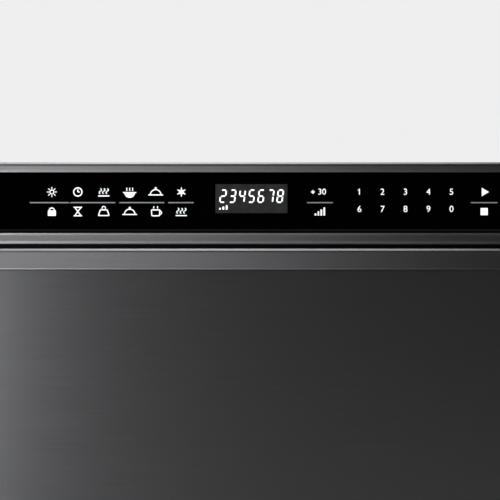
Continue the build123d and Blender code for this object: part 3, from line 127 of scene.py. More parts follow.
class Finish(Nodes):
    """A material in the making: its shader, and the patterns that feed it."""

    def __init__(self, name, colour, metallic=0.0, roughness=0.5):
        self.material = bpy.data.materials.new(name)
        super().__init__(self.material)
        self.shader = self.tree.nodes["Principled BSDF"]
        self.hold("Base Color", (*colour, 1.0))
        self.hold("Metallic", metallic)
        self.hold("Roughness", roughness)

    def hold(self, socket, value):
        """A value that is the same all over the surface."""
        self.shader.inputs[socket].default_value = value

    def place(self, stretch=(1, 1, 1)):
        """Places on the object. A stretch below 1 along an axis draws the pattern out along it."""
        here = self.node("TexCoord").outputs["Object"]
        mapping = self.node("Mapping")
        mapping.inputs["Scale"].default_value = stretch
        self.join(here, mapping.inputs["Vector"])
        return mapping.outputs["Vector"]

    def noise(self, per_metre, stretch=(1, 1, 1), detail=3.0):
        made = self.node("TexNoise")
        made.inputs["Scale"].default_value = per_metre
        made.inputs["Detail"].default_value = detail
        self.join(self.place(stretch), made.inputs["Vector"])
        return made.outputs["Fac"]

    def cells(self, per_metre, output="Color"):
        made = self.node("TexVoronoi")
        made.inputs["Scale"].default_value = per_metre
        self.join(self.place(), made.inputs["Vector"])
        return made.outputs[output]

    def bands(self, axis, per_metre):
        """Straight bands across an axis."""
        bands_at_scale_one = 3.2
        made = self.node("TexWave", wave_type="BANDS", bands_direction=axis)
        made.inputs["Scale"].default_value = per_metre / bands_at_scale_one
        self.join(self.place(), made.inputs["Vector"])
        return made.outputs["Fac"]

    def beyond(self, axis, place, blur=0.2 * mm):
        """0 below a place along an axis, and 1 above it."""
        split = self.node("SeparateXYZ")
        self.join(self.place(), split.inputs["Vector"])
        return self.levels(split.outputs[axis], (place - blur, place + blur), (0, 1))

    def colour(self, source):
        self.join(source, self.shader.inputs["Base Color"])

    def dullness(self, source, low, high):
        """Roughness from low to high as the pattern goes from 0 to 1."""
        self.join(self.levels(source, (0, 1), (low, high)), self.shader.inputs["Roughness"])

    def relief(self, source, depth):
        """The pattern as height, in metres."""
        bump = self.node("Bump")
        bump.inputs["Distance"].default_value = depth
        self.join(source, bump.inputs["Height"])
        self.join(bump.outputs["Normal"], self.shader.inputs["Normal"])

    def brushed(self, along, strength):
        """Highlights drawn out across the brushing, which runs along one axis on every face."""
        askew = 0.02  # so that no face lies quite across the brushing
        self.hold("Anisotropic", strength)
        across = self.node("VectorMath", operation="CROSS_PRODUCT")
        self.join(self.node("NewGeometry").outputs["Normal"], across.inputs[0])
        across.inputs[1].default_value = [part + askew for part in along]
        self.join(across.outputs["Vector"], self.shader.inputs["Tangent"])


# ================================================================ finishes
def black_stainless():
    """Dark steel, brushed from side to side."""
    steel = Finish("black_stainless", (0.1, 0.1, 0.105), metallic=1.0, roughness=0.3)
    grain = steel.noise(1400, stretch=(0.012, 1, 1), detail=4)
    steel.colour(steel.shades(grain, (0.25, (0.092, 0.093, 0.097)), (0.75, (0.105, 0.105, 0.109))))
    steel.dullness(grain, 0.27, 0.3)
    steel.brushed((1, 0, 0), 0.5)
    return steel.material


def control_glass():
    """Thick glass, painted black behind, with a ground bevel along its lower edge."""
    bevel, blur, bevel_dullness = 1.0 * mm, 0.02 * mm, 0.3
    black, frosted = (0.0004, 0.0004, 0.0005), (0.009, 0.009, 0.0095)
    glass = Finish("control_glass", black, roughness=0.05)
    glass.hold("IOR", 1.5)
    polished = glass.beyond("Z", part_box("control_glass")[0].z + bevel, blur)
    glass.colour(glass.mixed(polished, frosted, black))
    haze = glass.levels(glass.noise(40), (0, 1), (0.03, 0.07))
    ground = glass.sums("MULTIPLY", glass.sums("SUBTRACT", 1, polished), bevel_dullness)
    glass.dullness(glass.sums("ADD", haze, ground), 0, 1)
    return glass.material


def vent_black():
    """Matt black paint with the faint orange peel of a sprayed coat. Its colour is painted shade: far
    darker than real black paint, so that the gap above the drawer reads black.
    """
    paint = Finish("vent_black", (0.004, 0.004, 0.0045), roughness=0.55)
    paint.hold("Specular IOR Level", 0.15)
    peel = paint.noise(700, detail=1)
    paint.colour(paint.shades(peel, (0.3, (0.0033, 0.0033, 0.0037)), (0.7, (0.0047, 0.0047, 0.0053))))
    paint.dullness(peel, 0.5, 0.6)
    paint.relief(peel, 0.04 * mm)
    return paint.material


def galvanised():
    """Zinc-coated sheet with its fine crystal spangle."""
    zinc = Finish("galvanised", (0.5, 0.51, 0.52), metallic=1.0, roughness=0.55)
    spangle = zinc.cells(300)
    cloud = zinc.noise(9)
    grey = zinc.sums("ADD", zinc.sums("MULTIPLY", spangle, 0.5), zinc.sums("MULTIPLY", cloud, 0.5))
    dark, middle, light = (0.4, 0.41, 0.42), (0.47, 0.48, 0.492), (0.54, 0.55, 0.56)
    zinc.colour(zinc.shades(grey, (0.15, dark), (0.5, middle), (0.85, light)))
    zinc.dullness(spangle, 0.5, 0.62)
    zinc.relief(zinc.noise(900, detail=2), 0.02 * mm)
    return zinc.material


def cavity_enamel():
    """Grey baked enamel with fine light flecks."""
    enamel = Finish("cavity_enamel", (0.24, 0.245, 0.25), roughness=0.3)
    fleck = enamel.levels(enamel.cells(520, "Distance"), (0.08, 0.2), (1, 0))
    cloud = enamel.noise(14)
    ground = enamel.shades(cloud, (0.3, (0.225, 0.23, 0.236)), (0.7, (0.262, 0.267, 0.273)))
    enamel.colour(enamel.mixed(fleck, ground, (0.42, 0.425, 0.43)))
    enamel.dullness(enamel.noise(260, detail=1), 0.22, 0.34)
    enamel.relief(enamel.noise(420, detail=1), 0.03 * mm)
    return enamel.material


def aluminised(name, tone, along=(0, 1, 0)):
    """Rolled sheet with the mill's fine lines."""
    line_stretch = 0.02
    sheet = Finish(name, (tone, tone, tone), metallic=1.0, roughness=0.36)
    stretch = tuple(line_stretch if part else 1 for part in along)
    lines = sheet.noise(1200, stretch=stretch)
    dark = tuple(tone * part for part in (0.93, 0.935, 0.945))
    light = tuple(min(1, tone * part) for part in (1.03, 1.035, 1.045))
    sheet.colour(sheet.shades(lines, (0.3, dark), (0.7, light)))
    sheet.dullness(sheet.noise(30), 0.3, 0.44)
    sheet.brushed(along, 0.5)
    return sheet.material


def waveguide_steel():
    return aluminised("waveguide_steel", 0.6)


def magnetron_metal():
    return aluminised("magnetron_metal", 0.52, (1, 0, 0))


def stirrer_metal():
    return aluminised("stirrer_metal", 0.66, (1, 0, 0))


def capacitor_can():
    return aluminised("capacitor_can", 0.62, (0, 0, 1))


def rail_zinc():
    """Drawn steel rail, bright zinc, with the lines of the rolls along it."""
    zinc = Finish("rail_zinc", (0.62, 0.64, 0.66), metallic=1.0, roughness=0.26)
    lines = zinc.noise(1500, stretch=(1, 0.008, 1))
    zinc.colour(zinc.shades(lines, (0.3, (0.54, 0.56, 0.585)), (0.7, (0.67, 0.685, 0.7))))
    zinc.dullness(zinc.noise(25), 0.2, 0.34)
    zinc.brushed((0, 1, 0), 0.55)
    return zinc.material


def motor_case():
    """Zinc plating on a drawn can."""
    can = Finish("motor_case", (0.46, 0.46, 0.47), metallic=1.0, roughness=0.38)
    lines = can.noise(900, stretch=(1, 1, 0.03))
    can.colour(can.shades(lines, (0.3, (0.4, 0.4, 0.41)), (0.7, (0.52, 0.52, 0.53))))
    can.dullness(can.noise(60), 0.3, 0.46)
    return can.material


def laminations(name, dark, light, axis):
    """A stack of varnished sheets, seen on edge."""
    stack = Finish(name, light, metallic=0.6, roughness=0.45)
    edges = stack.bands(axis, 1400)
    stack.colour(stack.shades(edges, (0.25, dark), (0.6, light)))
    stack.dullness(stack.noise(220), 0.36, 0.56)
    stack.relief(edges, 0.06 * mm)
    return stack.material


def fan_motor_iron():
    return laminations("fan_motor_iron", (0.1, 0.095, 0.09), (0.26, 0.25, 0.24), "X")


def transformer_iron():
    """Varnished core. The windings stand out of it, front and rear, in enamelled copper."""
    front_overhang, rear_overhang = 27 * mm, 20.5 * mm
    iron = Finish("transformer_iron", (0.12, 0.08, 0.055), metallic=0.35, roughness=0.4)
    low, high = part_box("high_voltage_transformer")
    behind_core = iron.beyond("Y", high.y - rear_overhang)
    before_core = iron.sums("SUBTRACT", 1, iron.beyond("Y", low.y + front_overhang))
    outside = iron.sums("ADD", behind_core, before_core)
    sheets = iron.shades(iron.bands("Y", 1300), (0.25, (0.045, 0.03, 0.022)), (0.6, (0.15, 0.1, 0.07)))
    wires = iron.shades(iron.bands("Z", 900), (0.15, (0.16, 0.05, 0.015)), (0.55, (0.55, 0.24, 0.09)))
    iron.colour(iron.mixed(outside, sheets, wires))
    iron.dullness(iron.noise(200), 0.3, 0.5)
    iron.relief(iron.bands("Z", 900), 0.08 * mm)
    return iron.material


def moulded(name, tone, low=0.42, high=0.56, grain=1100):
    """Moulded plastic with the fine grain of a sparked tool."""
    plastic = Finish(name, tone, roughness=0.5)
    speck = plastic.noise(grain, detail=2)
    dark = tuple(part * 0.9 for part in tone)
    light = tuple(min(1, part * 1.1) for part in tone)
    plastic.colour(plastic.shades(speck, (0.3, dark), (0.7, light)))
    plastic.dullness(plastic.noise(60), low, high)
    plastic.relief(speck, 0.03 * mm)
    return plastic.material


def black_plastic():
    return moulded("black_plastic", (0.012, 0.012, 0.0135))


def guide_plastic():
    return moulded("guide_plastic", (0.1, 0.104, 0.11))


def gear_nylon():
    return moulded("gear_nylon", (0.72, 0.7, 0.63), 0.34, 0.46, 500)


def stirrer_cover_white():
    return moulded("stirrer_cover_white", (0.66, 0.655, 0.63), 0.45, 0.6, 700)


def rubber():
    return moulded("rubber", (0.011, 0.011, 0.011), 0.7, 0.85, 1500)


def shade_dark_seal_rubber():
    """Soft matt rubber, with hardly any shine. Its colour is painted shade: far darker than the other
    rubber, to darken the gap under the glass.
    """
    rubber = Finish("shade_dark_seal_rubber", (0.002, 0.002, 0.002), roughness=0.9)
    rubber.hold("Specular IOR Level", 0.05)
    rubber.colour(rubber.shades(rubber.noise(1500), (0.3, (0.0015,) * 3), (0.7, (0.0025,) * 3)))
    return rubber.material


def circuit_board():
    """Solder mask with the tracks showing through it."""
    board = Finish("circuit_board", (0.02, 0.11, 0.05), roughness=0.35)
    tracks = board.levels(board.cells(170, "Distance"), (0.3, 0.34), (0, 1))
    fine = board.levels(board.bands("X", 420), (0.42, 0.5), (0, 1))
    copper = board.sums("MULTIPLY", tracks, fine)
    board.colour(board.mixed(copper, (0.012, 0.075, 0.034), (0.035, 0.19, 0.085)))
    board.dullness(board.noise(120), 0.28, 0.42)
    board.relief(copper, 0.04 * mm)
    return board.material


def lamp_glass():
    """Clear glass, seen through."""
    bulb = Finish("lamp_glass", (0.95, 0.94, 0.9), roughness=0.04)
    bulb.hold("Transmission Weight", 0.9)
    bulb.hold("IOR", 1.5)
    bulb.dullness(bulb.noise(90), 0.02, 0.08)
    return bulb.material


def tray_glass():
    """Smoked ceramic glass with fine light specks."""
    glass = Finish("tray_glass", (0.035, 0.037, 0.04), roughness=0.08)
    glass.hold("IOR", 1.52)
    speck = glass.levels(glass.cells(800, "Distance"), (0.1, 0.18), (1, 0))
    glass.colour(glass.mixed(speck, (0.032, 0.034, 0.037), (0.12, 0.124, 0.13)))
    glass.dullness(glass.noise(50), 0.05, 0.12)
    return glass.material


def display_face():
    """The display's dark grey window, slightly mottled by its fine filter mesh."""
    face = Finish("display_face", (0.045, 0.045, 0.047), roughness=0.22)
    mesh = face.sums("MULTIPLY", face.bands("X", 1500), face.bands("Z", 1500))
    cloud = face.noise(160)
    grey = face.sums("ADD", face.sums("MULTIPLY", mesh, 0.4), face.sums("MULTIPLY", cloud, 0.6))
    face.colour(face.shades(grey, (0.2, (0.022, 0.022, 0.023)), (0.8, (0.08, 0.08, 0.083))))
    return face.material


def lit_segment():
    """A lit part of a figure: white, and not quite even."""
    light = Finish("lit_segment", (0.8, 0.82, 0.84), roughness=0.4)
    light.hold("Emission Color", (0.93, 0.97, 1.0, 1.0))
    glow = light.levels(light.noise(900, detail=1), (0.3, 0.7), (0.75, 0.95))
    light.join(glow, light.shader.inputs["Emission Strength"])
    return light.material


def printed(name, tone, thin, thick, glow):
    """Ink printed on the glass, lit from behind. Thin and thick are its shades."""
    ink = Finish(name, tone, roughness=0.5)
    ink.hold("Emission Color", (0.9, 0.94, 1.0, 1.0))
    ink.hold("Emission Strength", glow)
    ink.colour(ink.shades(ink.noise(2200, detail=2), (0.3, thin), (0.7, thick)))
    return ink.material


def key_print():
    """White ink, softly lit."""
    return printed("key_print", (0.74, 0.75, 0.76), (0.66, 0.67, 0.68), (0.8, 0.81, 0.82), 0.42)


def line_print():
    """Grey ink of the dividing lines."""
    return printed("line_print", (0.12, 0.12, 0.125), (0.105, 0.105, 0.11), (0.135, 0.135, 0.14), 0.055)


finishes = {
    make.__name__: make()
    for make in (
        black_stainless, control_glass, vent_black, galvanised, cavity_enamel, waveguide_steel,
        magnetron_metal, stirrer_metal, capacitor_can, rail_zinc, motor_case, fan_motor_iron,
        transformer_iron, black_plastic, guide_plastic, gear_nylon, stirrer_cover_white, rubber,
        shade_dark_seal_rubber, circuit_board, lamp_glass, tray_glass, display_face, lit_segment, key_print,
        line_print,
    )
}


def dress_frame():
    """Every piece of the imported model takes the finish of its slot."""
    for part in frame["record"]["subparts"]:
        finish = finishes[part["material_slot"]]
        piece = nodes[part["node"]]
        if not piece.material_slots:
            piece.data.materials.append(finish)
        for holder in piece.material_slots:
            holder.material = finish


# ================================================================ shaping pieces
def clear():
    """Out of edit mode, with nothing selected."""
    if bpy.context.object and bpy.context.object.mode != "OBJECT":
        bpy.ops.object.mode_set(mode="OBJECT")
    bpy.ops.object.select_all(action="DESELECT")


def pick(piece):
    """Out of edit mode, with only this piece selected."""
    clear()
    piece.select_set(True)
    bpy.context.view_layer.objects.active = piece


def settle(piece):
    """Place, turn and size go into the mesh."""
    pick(piece)
    bpy.ops.object.transform_apply(location=True, rotation=True, scale=True)
    return piece


def finish_piece(piece, name, body, finish):
    """The piece gets its name and finish, and rides on its body."""
    piece.name = name
    piece.data.name = name
    piece.data.materials.clear()
    piece.data.materials.append(finishes[finish])
    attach(piece, body)
    return piece


def joined(pieces):
    """The pieces as one, in their order."""
    clear()
    for piece in pieces:
        piece.select_set(True)
    bpy.context.view_layer.objects.active = pieces[0]
    bpy.ops.object.join()
    return bpy.context.object


def edit(piece):
    """The whole of a piece selected, in edit mode."""
    pick(piece)
    bpy.ops.object.mode_set(mode="EDIT")
    bpy.ops.mesh.select_all(action="SELECT")


def box(name, middle, size, round_off=0.0, steps=2):
    """A box, with its edges rounded off where that is asked for."""
    clear()
    bpy.ops.mesh.primitive_cube_add(size=1, location=middle)
    piece = bpy.context.object
    piece.name = name
    piece.scale = size
    piece = settle(piece)
    if round_off:
        edit(piece)
        bpy.ops.mesh.bevel(offset=round_off, segments=steps)
        clear()
    return piece


def carved(piece, cutter):
    """The piece without the cutter's space. The cutter is used up."""
    pick(piece)
    cut = piece.modifiers.new("cut", "BOOLEAN")
    cut.operation = "DIFFERENCE"
    cut.object = cutter
    bpy.ops.object.modifier_apply(modifier="cut")
    bpy.data.objects.remove(cutter)
    return piece


def copied(piece, place, turn=(0, 0, 0)):
    """Its own copy, turned and moved."""
    pick(piece)
    bpy.ops.object.duplicate()
    twin = bpy.context.object
    twin.location = place
    twin.rotation_euler = turn
    return settle(twin)


# ================================================================ printing on the glass
glass_low, glass_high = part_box("control_glass")
glass_face = glass_low.y
ink_depth = 0.06 * mm


def flat(x, z, width, height, turn=0.0):
    """A flat bar on the glass, facing forward. The turn is in degrees, anticlockwise from level."""
    clear()
    facing = (pi / 2, -radians(turn), 0)
    bpy.ops.mesh.primitive_plane_add(size=1, location=(x, glass_face, z), rotation=facing)
    bpy.context.object.scale = (width, height, 1)
    return settle(bpy.context.object)


def line(x0, z0, x1, z1, width):
    """A bar from one point to another."""
    run = Vector((x1 - x0, 0, z1 - z0))
    turn = run.angle(Vector((1, 0, 0))) * (1 if run.z >= 0 else -1)
    return flat((x0 + x1) / 2, (z0 + z1) / 2, run.length, width, turn * 180 / pi)


def ring(x, z, radius, width, keep=None):
    """A flat ring, or the half of it on one side: keep is up, down, left or right."""
    clear()
    outer = radius + width / 2
    bpy.ops.mesh.primitive_circle_add(vertices=32, radius=outer, location=(x, glass_face, z),
                                      rotation=(pi / 2, 0, 0))
    piece = bpy.context.object
    edit(piece)
    bpy.ops.mesh.extrude_edges_move()
    inner = (radius - width / 2) / outer
    bpy.ops.transform.resize(value=(inner, inner, inner))
    piece = settle(piece)
    return halved(piece, x, z, keep) if keep else piece


def disc(x, z, radius, keep=None):
    """A flat disc, or the half of it on one side."""
    clear()
    bpy.ops.mesh.primitive_circle_add(vertices=24, radius=radius, fill_type="NGON",
                                      location=(x, glass_face, z), rotation=(pi / 2, 0, 0))
    piece = settle(bpy.context.object)
    return halved(piece, x, z, keep) if keep else piece


def halved(piece, x, z, keep):
    """What lies on one side of a place."""
    away_from = {"up": (0, 0, -1), "down": (0, 0, 1), "left": (1, 0, 0), "right": (-1, 0, 0)}
    edit(piece)
    bpy.ops.mesh.bisect(plane_co=(x, glass_face, z), plane_no=away_from[keep], clear_outer=True)
    clear()
    return piece


def number(text, x, z, height):
    """Plain figures, centred at a place. The height is that of a figure."""
    clear()
    figure_share = 0.72  # of the type size
    bpy.ops.object.text_add(location=(0, 0, 0))
    piece = bpy.context.object
    piece.data.body = text
    piece.data.align_x = "CENTER"
    piece.data.align_y = "CENTER"
    piece.data.size = height / figure_share
    bpy.ops.object.convert(target="MESH")
    piece = bpy.context.object
    piece.location = (x, glass_face, z)
    piece.rotation_euler = (pi / 2, 0, 0)
    return settle(piece)


def inked(pieces, name, finish, lift=0.0):
    """The marks as one thin film on the front of the glass, or lifted off it."""
    film = joined(pieces)
    edit(film)
    bpy.ops.mesh.normals_make_consistent(inside=False)
    bpy.ops.transform.translate(value=(0, -lift, 0))
    bpy.ops.mesh.extrude_region_move(TRANSFORM_OT_translate={"value": (0, -ink_depth, 0)})
    bpy.ops.mesh.select_all(action="SELECT")
    bpy.ops.mesh.normals_make_consistent(inside=False)
    return finish_piece(settle(film), name, "chassis", finish)


# The pictograms of the keys. Each is drawn round its own middle.
stroke = 0.75 * mm
thin_stroke = stroke * 0.8


def level_bars(first, foot, pitch, width, heights):
    """Bars on one foot, from the middle of the first. Their heights are in millimetres."""
    return [flat(first + pitch * i, foot + tall * mm / 2, width, tall * mm)
            for i, tall in enumerate(heights)]


def slanted(x, low, high, low_half, high_half):
    """The two slanting sides of a body, from its half width below to its half width above."""
    return [line(x + side * low_half, low, x + side * high_half, high, stroke) for side in (-1, 1)]


def clock_mark(x, z):
    hands = [line(x, z, x, z + 2.0 * mm, stroke), line(x, z, x + 1.5 * mm, z, stroke)]
    return [ring(x, z, 3.1 * mm, stroke)] + hands


def snowflake_mark(x, z):
    arms = [flat(x, z, 7.0 * mm, thin_stroke, turn) for turn in (30, 90, 150)]
    return arms + [ring(x, z, 1.6 * mm, stroke * 0.7)]


def dish_mark(x, z):
    """A covered dish."""
    base = z - 2.2 * mm
    knob = disc(x, base + 5.0 * mm, 0.8 * mm)
    return [ring(x, base, 4.0 * mm, stroke, "up"), flat(x, base, 11.0 * mm, stroke), knob]


def cup_mark(x, z):
    """A cup with its handle, and steam over it."""
    low, rim, low_half, rim_half = z - 3.2 * mm, z + 1.2 * mm, 2.8 * mm, 3.2 * mm
    cup = [flat(x, low, 2 * low_half, stroke), flat(x, rim, 2 * rim_half, stroke)]
    cup += slanted(x, low, rim, low_half, rim_half)
    cup += [ring(x + 3.0 * mm, low + 2.4 * mm, 1.4 * mm, thin_stroke, "right")]
    return cup + [flat(x + u * mm, low + 6.3 * mm, thin_stroke, 1.8 * mm) for u in (-1.4, 1.4)]


def bowl_mark(x, z):
    """A bowl with steam over it."""
    rim = z - 0.4 * mm
    bowl = [disc(x, rim, 4.0 * mm, "down"), flat(x, rim, 10.0 * mm, stroke)]
    return bowl + [flat(x + u * mm, rim + 2.4 * mm, thin_stroke, 2.4 * mm) for u in (-2.2, 0, 2.2)]


def timer_mark(x, z):
    """A sand glass."""
    half, rise = 2.4 * mm, 3.2 * mm
    ends = [flat(x, z + side * rise, 6.4 * mm, stroke) for side in (-1, 1)]
    return ends + [line(x - half, z - side * rise, x + half, z + side * rise, stroke)
                   for side in (-1, 1)]


def weight_mark(x, z):
    """A scale weight with its ring."""
    low, top, low_half = z - 3.0 * mm, z + 1.2 * mm, 4.0 * mm
    body = [flat(x, low, 2 * low_half, stroke), flat(x, top, 5.6 * mm, stroke)]
    body += slanted(x, low, top, low_half, 2.6 * mm)
    return body + [ring(x, low + 5.6 * mm, 1.3 * mm, thin_stroke)]


def lock_mark(x, z):
    body = flat(x, z - 1.2 * mm, 6.0 * mm, 4.0 * mm)
    return [body, ring(x, z + 0.8 * mm, 1.9 * mm, stroke, "up")]


def light_mark(x, z):
    """A lamp with eight rays."""
    reach = 3.0 * mm
    rays = [flat(x + reach * cos(radians(a)), z + reach * sin(radians(a)), 1.5 * mm, stroke * 0.7, a)
            for a in range(0, 360, 45)]
    return [ring(x, z, 1.5 * mm, thin_stroke)] + rays


def level_mark(x, z):
    """Four bars, each taller than the last."""
    pitch = 2.2 * mm
    return level_bars(x - 1.5 * pitch, z - 3.0 * mm, pitch, 1.2 * mm, (1.6, 3.1, 4.6, 6.1))


def heat_mark(x, z):
    """Three rising waves over a plate."""
    marks = [flat(x, z - 3.0 * mm, 8.4 * mm, stroke)]
    for u in (-2.6, 0, 2.6):
        for rise, side in ((-0.4, "left"), (1.6, "right")):
            marks.append(ring(x + u * mm, z + rise * mm, 0.9 * mm, stroke * 0.75, side))
    return marks


def more_time_mark(x, z):
    """Thirty seconds more: a plus and the figures."""
    at, reach = x - 5.2 * mm, 2.8 * mm
    plus = [flat(at, z, reach, stroke), flat(at, z, stroke, reach)]
    return plus + [number("30", x + 1.6 * mm, z, 4.6 * mm)]


def start_mark(x, z):
    """A triangle that points right."""
    clear()
    bpy.ops.mesh.primitive_circle_add(vertices=3, radius=3.6 * mm, fill_type="NGON",
                                      location=(x, glass_face, z), rotation=(pi / 2, pi / 2, 0))
    return [settle(bpy.context.object)]


def stop_mark(x, z):
    return [flat(x, z, 5.4 * mm, 5.4 * mm)]


# Where the keys stand, in millimetres from the middle, with the upper and the lower mark of each pair.
upper_row, lower_row = 371.6 * mm, 356.9 * mm
keys = {
    -148.9: (light_mark, lock_mark),
    -129.4: (clock_mark, timer_mark),
    -109.9: (heat_mark, weight_mark),
    -90.4: (bowl_mark, dish_mark),
    -70.9: (dish_mark, cup_mark),
    -51.6: (snowflake_mark, heat_mark),
    52.5: (more_time_mark, level_mark),
    176.0: (start_mark, stop_mark),
}
divider_row, divider_width = 363.6 * mm, 0.85 * mm
dividers = (
    (-165.5, -136.0), (-135.0, -101.2), (-98.2, -64.5), (-61.5, -42.4), (42.8, 62.2), (166.0, 186.0),
)


def key_marks():
    """Every pictogram, as one film of ink."""
    marks = []
    for x, (upper, lower) in keys.items():
        marks += upper(x * mm, upper_row)
        marks += lower(x * mm, lower_row)
    return inked(marks, "key_marks", "key_print")


def key_dividers():
    """The lines between the two rows of keys."""
    bars = [line(x0 * mm, divider_row, x1 * mm, divider_row, divider_width) for x0, x1 in dividers]
    return inked(bars, "key_dividers", "line_print")


def key_numbers():
    """The ten figures, in two rows. The 1 gets the small flag that its typeface leaves out."""
    first, pitch, height = 82.25 * mm, 17.3 * mm, 4.8 * mm
    figure_rows = (("12345", 371.55 * mm), ("67890", 358.6 * mm))
    marks = [number(text, first + pitch * i, z, height)
             for figures, z in figure_rows for i, text in enumerate(figures)]
    top = figure_rows[0][1] + height / 2
    flag_reach, flag_foot, flag_head, flag_width = 1.15 * mm, 1.15 * mm, 0.3 * mm, 0.5 * mm
    marks.append(line(first - flag_reach, top - flag_foot, first, top - flag_head, flag_width))
    return inked(marks, "key_numbers", "key_print")


# ================================================================ display
window_left, window_right = -25.95 * mm, 28.1 * mm
window_low, window_high = 355.7 * mm, 377.5 * mm
window_depth = 0.08 * mm
figure_width, figure_height, figure_pitch = 3.8 * mm, 9.1 * mm, 7.15 * mm
segment_width = 1.0 * mm
slant = 0.14  # sideways for each height
segments_of = {
    "0": "abcdef", "1": "bc", "2": "abged", "3": "abgcd", "4": "fgbc", "5": "afgcd",
    "6": "afgedc", "7": "abc", "8": "abcdefg", "9": "abcdfg",
}


def display_window():
    """The display's face, with softly rounded edges."""
    x, z = (window_left + window_right) / 2, (window_low + window_high) / 2
    size = (window_right - window_left, window_depth, window_high - window_low)
    pane = box("pane", (x, glass_face - window_depth / 2, z), size, window_depth * 0.4)
    return finish_piece(pane, "display_window", "chassis", "display_face")


def figure(text, left, low):
    """One slanted character of seven segments."""
    wide, top, half = figure_width, figure_height, figure_height / 2
    gap = segment_width * 0.55
    ends = {
        "a": (gap, top, wide - gap, top),
        "g": (gap, half, wide - gap, half),
        "d": (gap, 0, wide - gap, 0),
        "f": (0, half + gap, 0, top - gap),
        "b": (wide, half + gap, wide, top - gap),
        "e": (0, gap, 0, half - gap),
        "c": (wide, gap, wide, half - gap),
    }
    bars = []
    for letter in segments_of[text]:
        x0, z0, x1, z1 = ends[letter]
        start = (left + x0 + slant * z0, low + z0)
        end = (left + x1 + slant * z1, low + z1)
        bars.append(line(*start, *end, segment_width))
    return bars


def display_figures():
    """Seven figures across the window, and three small bars of a level under the first."""
    left, low = window_left + 3.2 * mm, window_low + 8.2 * mm
    bars = []
    for place, text in enumerate("2345678"):
        bars += figure(text, left + figure_pitch * place, low)
    bars += level_bars(window_left + 3.4 * mm, window_low + 2.7 * mm, 2.5 * mm, 1.2 * mm, (1.2, 2.2, 3.2))
    return inked(bars, "display_figures", "lit_segment", window_depth)


def glass_seal_painted_shade():
    """The rubber lip in the groove under the glass, near black as painted shade for the gap between the
    glass and the lower trim. Its face slants back towards its foot.
    """
    groove, depth, slant_back, edge_round = 1.68 * mm, 1.5 * mm, 1.2 * mm, 0.1 * mm
    middle = (0, glass_high.y - depth / 2, glass_low.z - groove / 2)
    lip = box("lip", middle, (glass_high.x - glass_low.x, depth, groove))
    for point in lip.data.vertices:
        point.select = point.co.y < middle[1] and point.co.z < middle[2]
    bpy.ops.object.mode_set(mode="EDIT")
    bpy.ops.transform.translate(value=(0, slant_back, 0))
    bpy.ops.mesh.select_all(action="SELECT")
    bpy.ops.mesh.bevel(offset=edge_round, segments=2)
    clear()
    return finish_piece(lip, "glass_seal_painted_shade", "chassis", "shade_dark_seal_rubber")


# ================================================================ screws and pressings of the case
case_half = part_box("outer_case")[1].x
case_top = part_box("outer_case")[1].z
rear_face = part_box("rear_panel")[1].y
side_screws, rear_screws = (60, 200, 350, 500), (-220, -60, 60, 220)  # places in millimetres
screw_rise = 9 * mm
head_radius, head_height = 3.8 * mm, 1.8 * mm
shank_radius, shank_length = 1.9 * mm, 6.0 * mm
louvre_pitch, louvre_half = 10 * mm, 40 * mm
case_rows, rear_rows = 8, 10  # of louvres
fan_middle = (493 * mm, 240 * mm)


def screw():
    """A pan-head screw with a cross recess, standing on the floor with its head up."""
    rim_round, recess = 0.7 * mm, (3.6 * mm, 0.8 * mm, 1.8 * mm)
    clear()
    bpy.ops.mesh.primitive_cylinder_add(vertices=32, radius=head_radius, depth=head_height,
                                        location=(0, 0, head_height / 2))
    head = bpy.context.object
    edit(head)
    bpy.ops.mesh.select_all(action="DESELECT")
    bpy.ops.object.mode_set(mode="OBJECT")
    for face in head.data.polygons:
        face.select = face.normal.z > 0.9
    bpy.ops.object.mode_set(mode="EDIT")
    bpy.ops.mesh.bevel(offset=rim_round, segments=4)
    clear()
    for turn in (0, pi / 2):
        slot = box("slot", (0, 0, head_height), recess)
        slot.rotation_euler = (0, 0, turn)
        head = carved(head, settle(slot))
    bpy.ops.mesh.primitive_cylinder_add(vertices=16, radius=shank_radius, depth=shank_length,
                                        location=(0, 0, -shank_length / 2))
    whole = joined([head, bpy.context.object])
    pick(whole)
    bpy.ops.object.shade_smooth_by_angle(angle=radians(35))
    return whole


def case_screw_heads():
    """The screws round the foot of the case, each turned a little differently.

    Known fault: the turn of a side screw tilts it as well. It should only spin the screw about its own
    axis, as the turn of a rear screw does.
    """
    side_turn, rear_turn = 0.4, 0.7  # from one screw to the next, in radians
    pattern = screw()
    heads = []
    for i, y in enumerate(side_screws):
        for side in (-1, 1):
            turn = (side_turn * i + side, side * pi / 2, 0)
            heads.append(copied(pattern, (side * case_half, y * mm, screw_rise), turn))
    for i, x in enumerate(rear_screws):
        heads.append(copied(pattern, (x * mm, rear_face, screw_rise), (-pi / 2, rear_turn * i, 0)))
    bpy.data.objects.remove(pattern)
    piece = finish_piece(joined(heads), "case_screw_heads", "chassis", "rail_zinc")
    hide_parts("case_screws")
    return piece


def hood(length):
    """A pressed louvre along X, standing up from the floor and open towards +Y."""
    width, proud, wall, edge_round = 6.4 * mm, 2.6 * mm, 0.8 * mm, 2.2 * mm
    mouth = width * 0.28
    shell = box("hood", (0, 0, 0), (length, width, 2 * proud), edge_round, 3)
    edit(shell)
    bpy.ops.mesh.bisect(plane_co=(0, 0, 0), plane_no=(0, 0, -1), clear_outer=True)
    bpy.ops.mesh.select_all(action="SELECT")
    bpy.ops.mesh.bisect(plane_co=(0, mouth, 0), plane_no=(0, 1, 0), clear_outer=True)
    pick(shell)
    sheet = shell.modifiers.new("sheet", "SOLIDIFY")
    sheet.thickness = wall
    bpy.ops.object.modifier_apply(modifier="sheet")
    bpy.ops.object.shade_smooth_by_angle(angle=radians(40))
    return shell


def rows(count):
    """Places on both sides of a middle, one louvre apart."""
    return [(i - (count - 1) / 2) * louvre_pitch for i in range(count)]


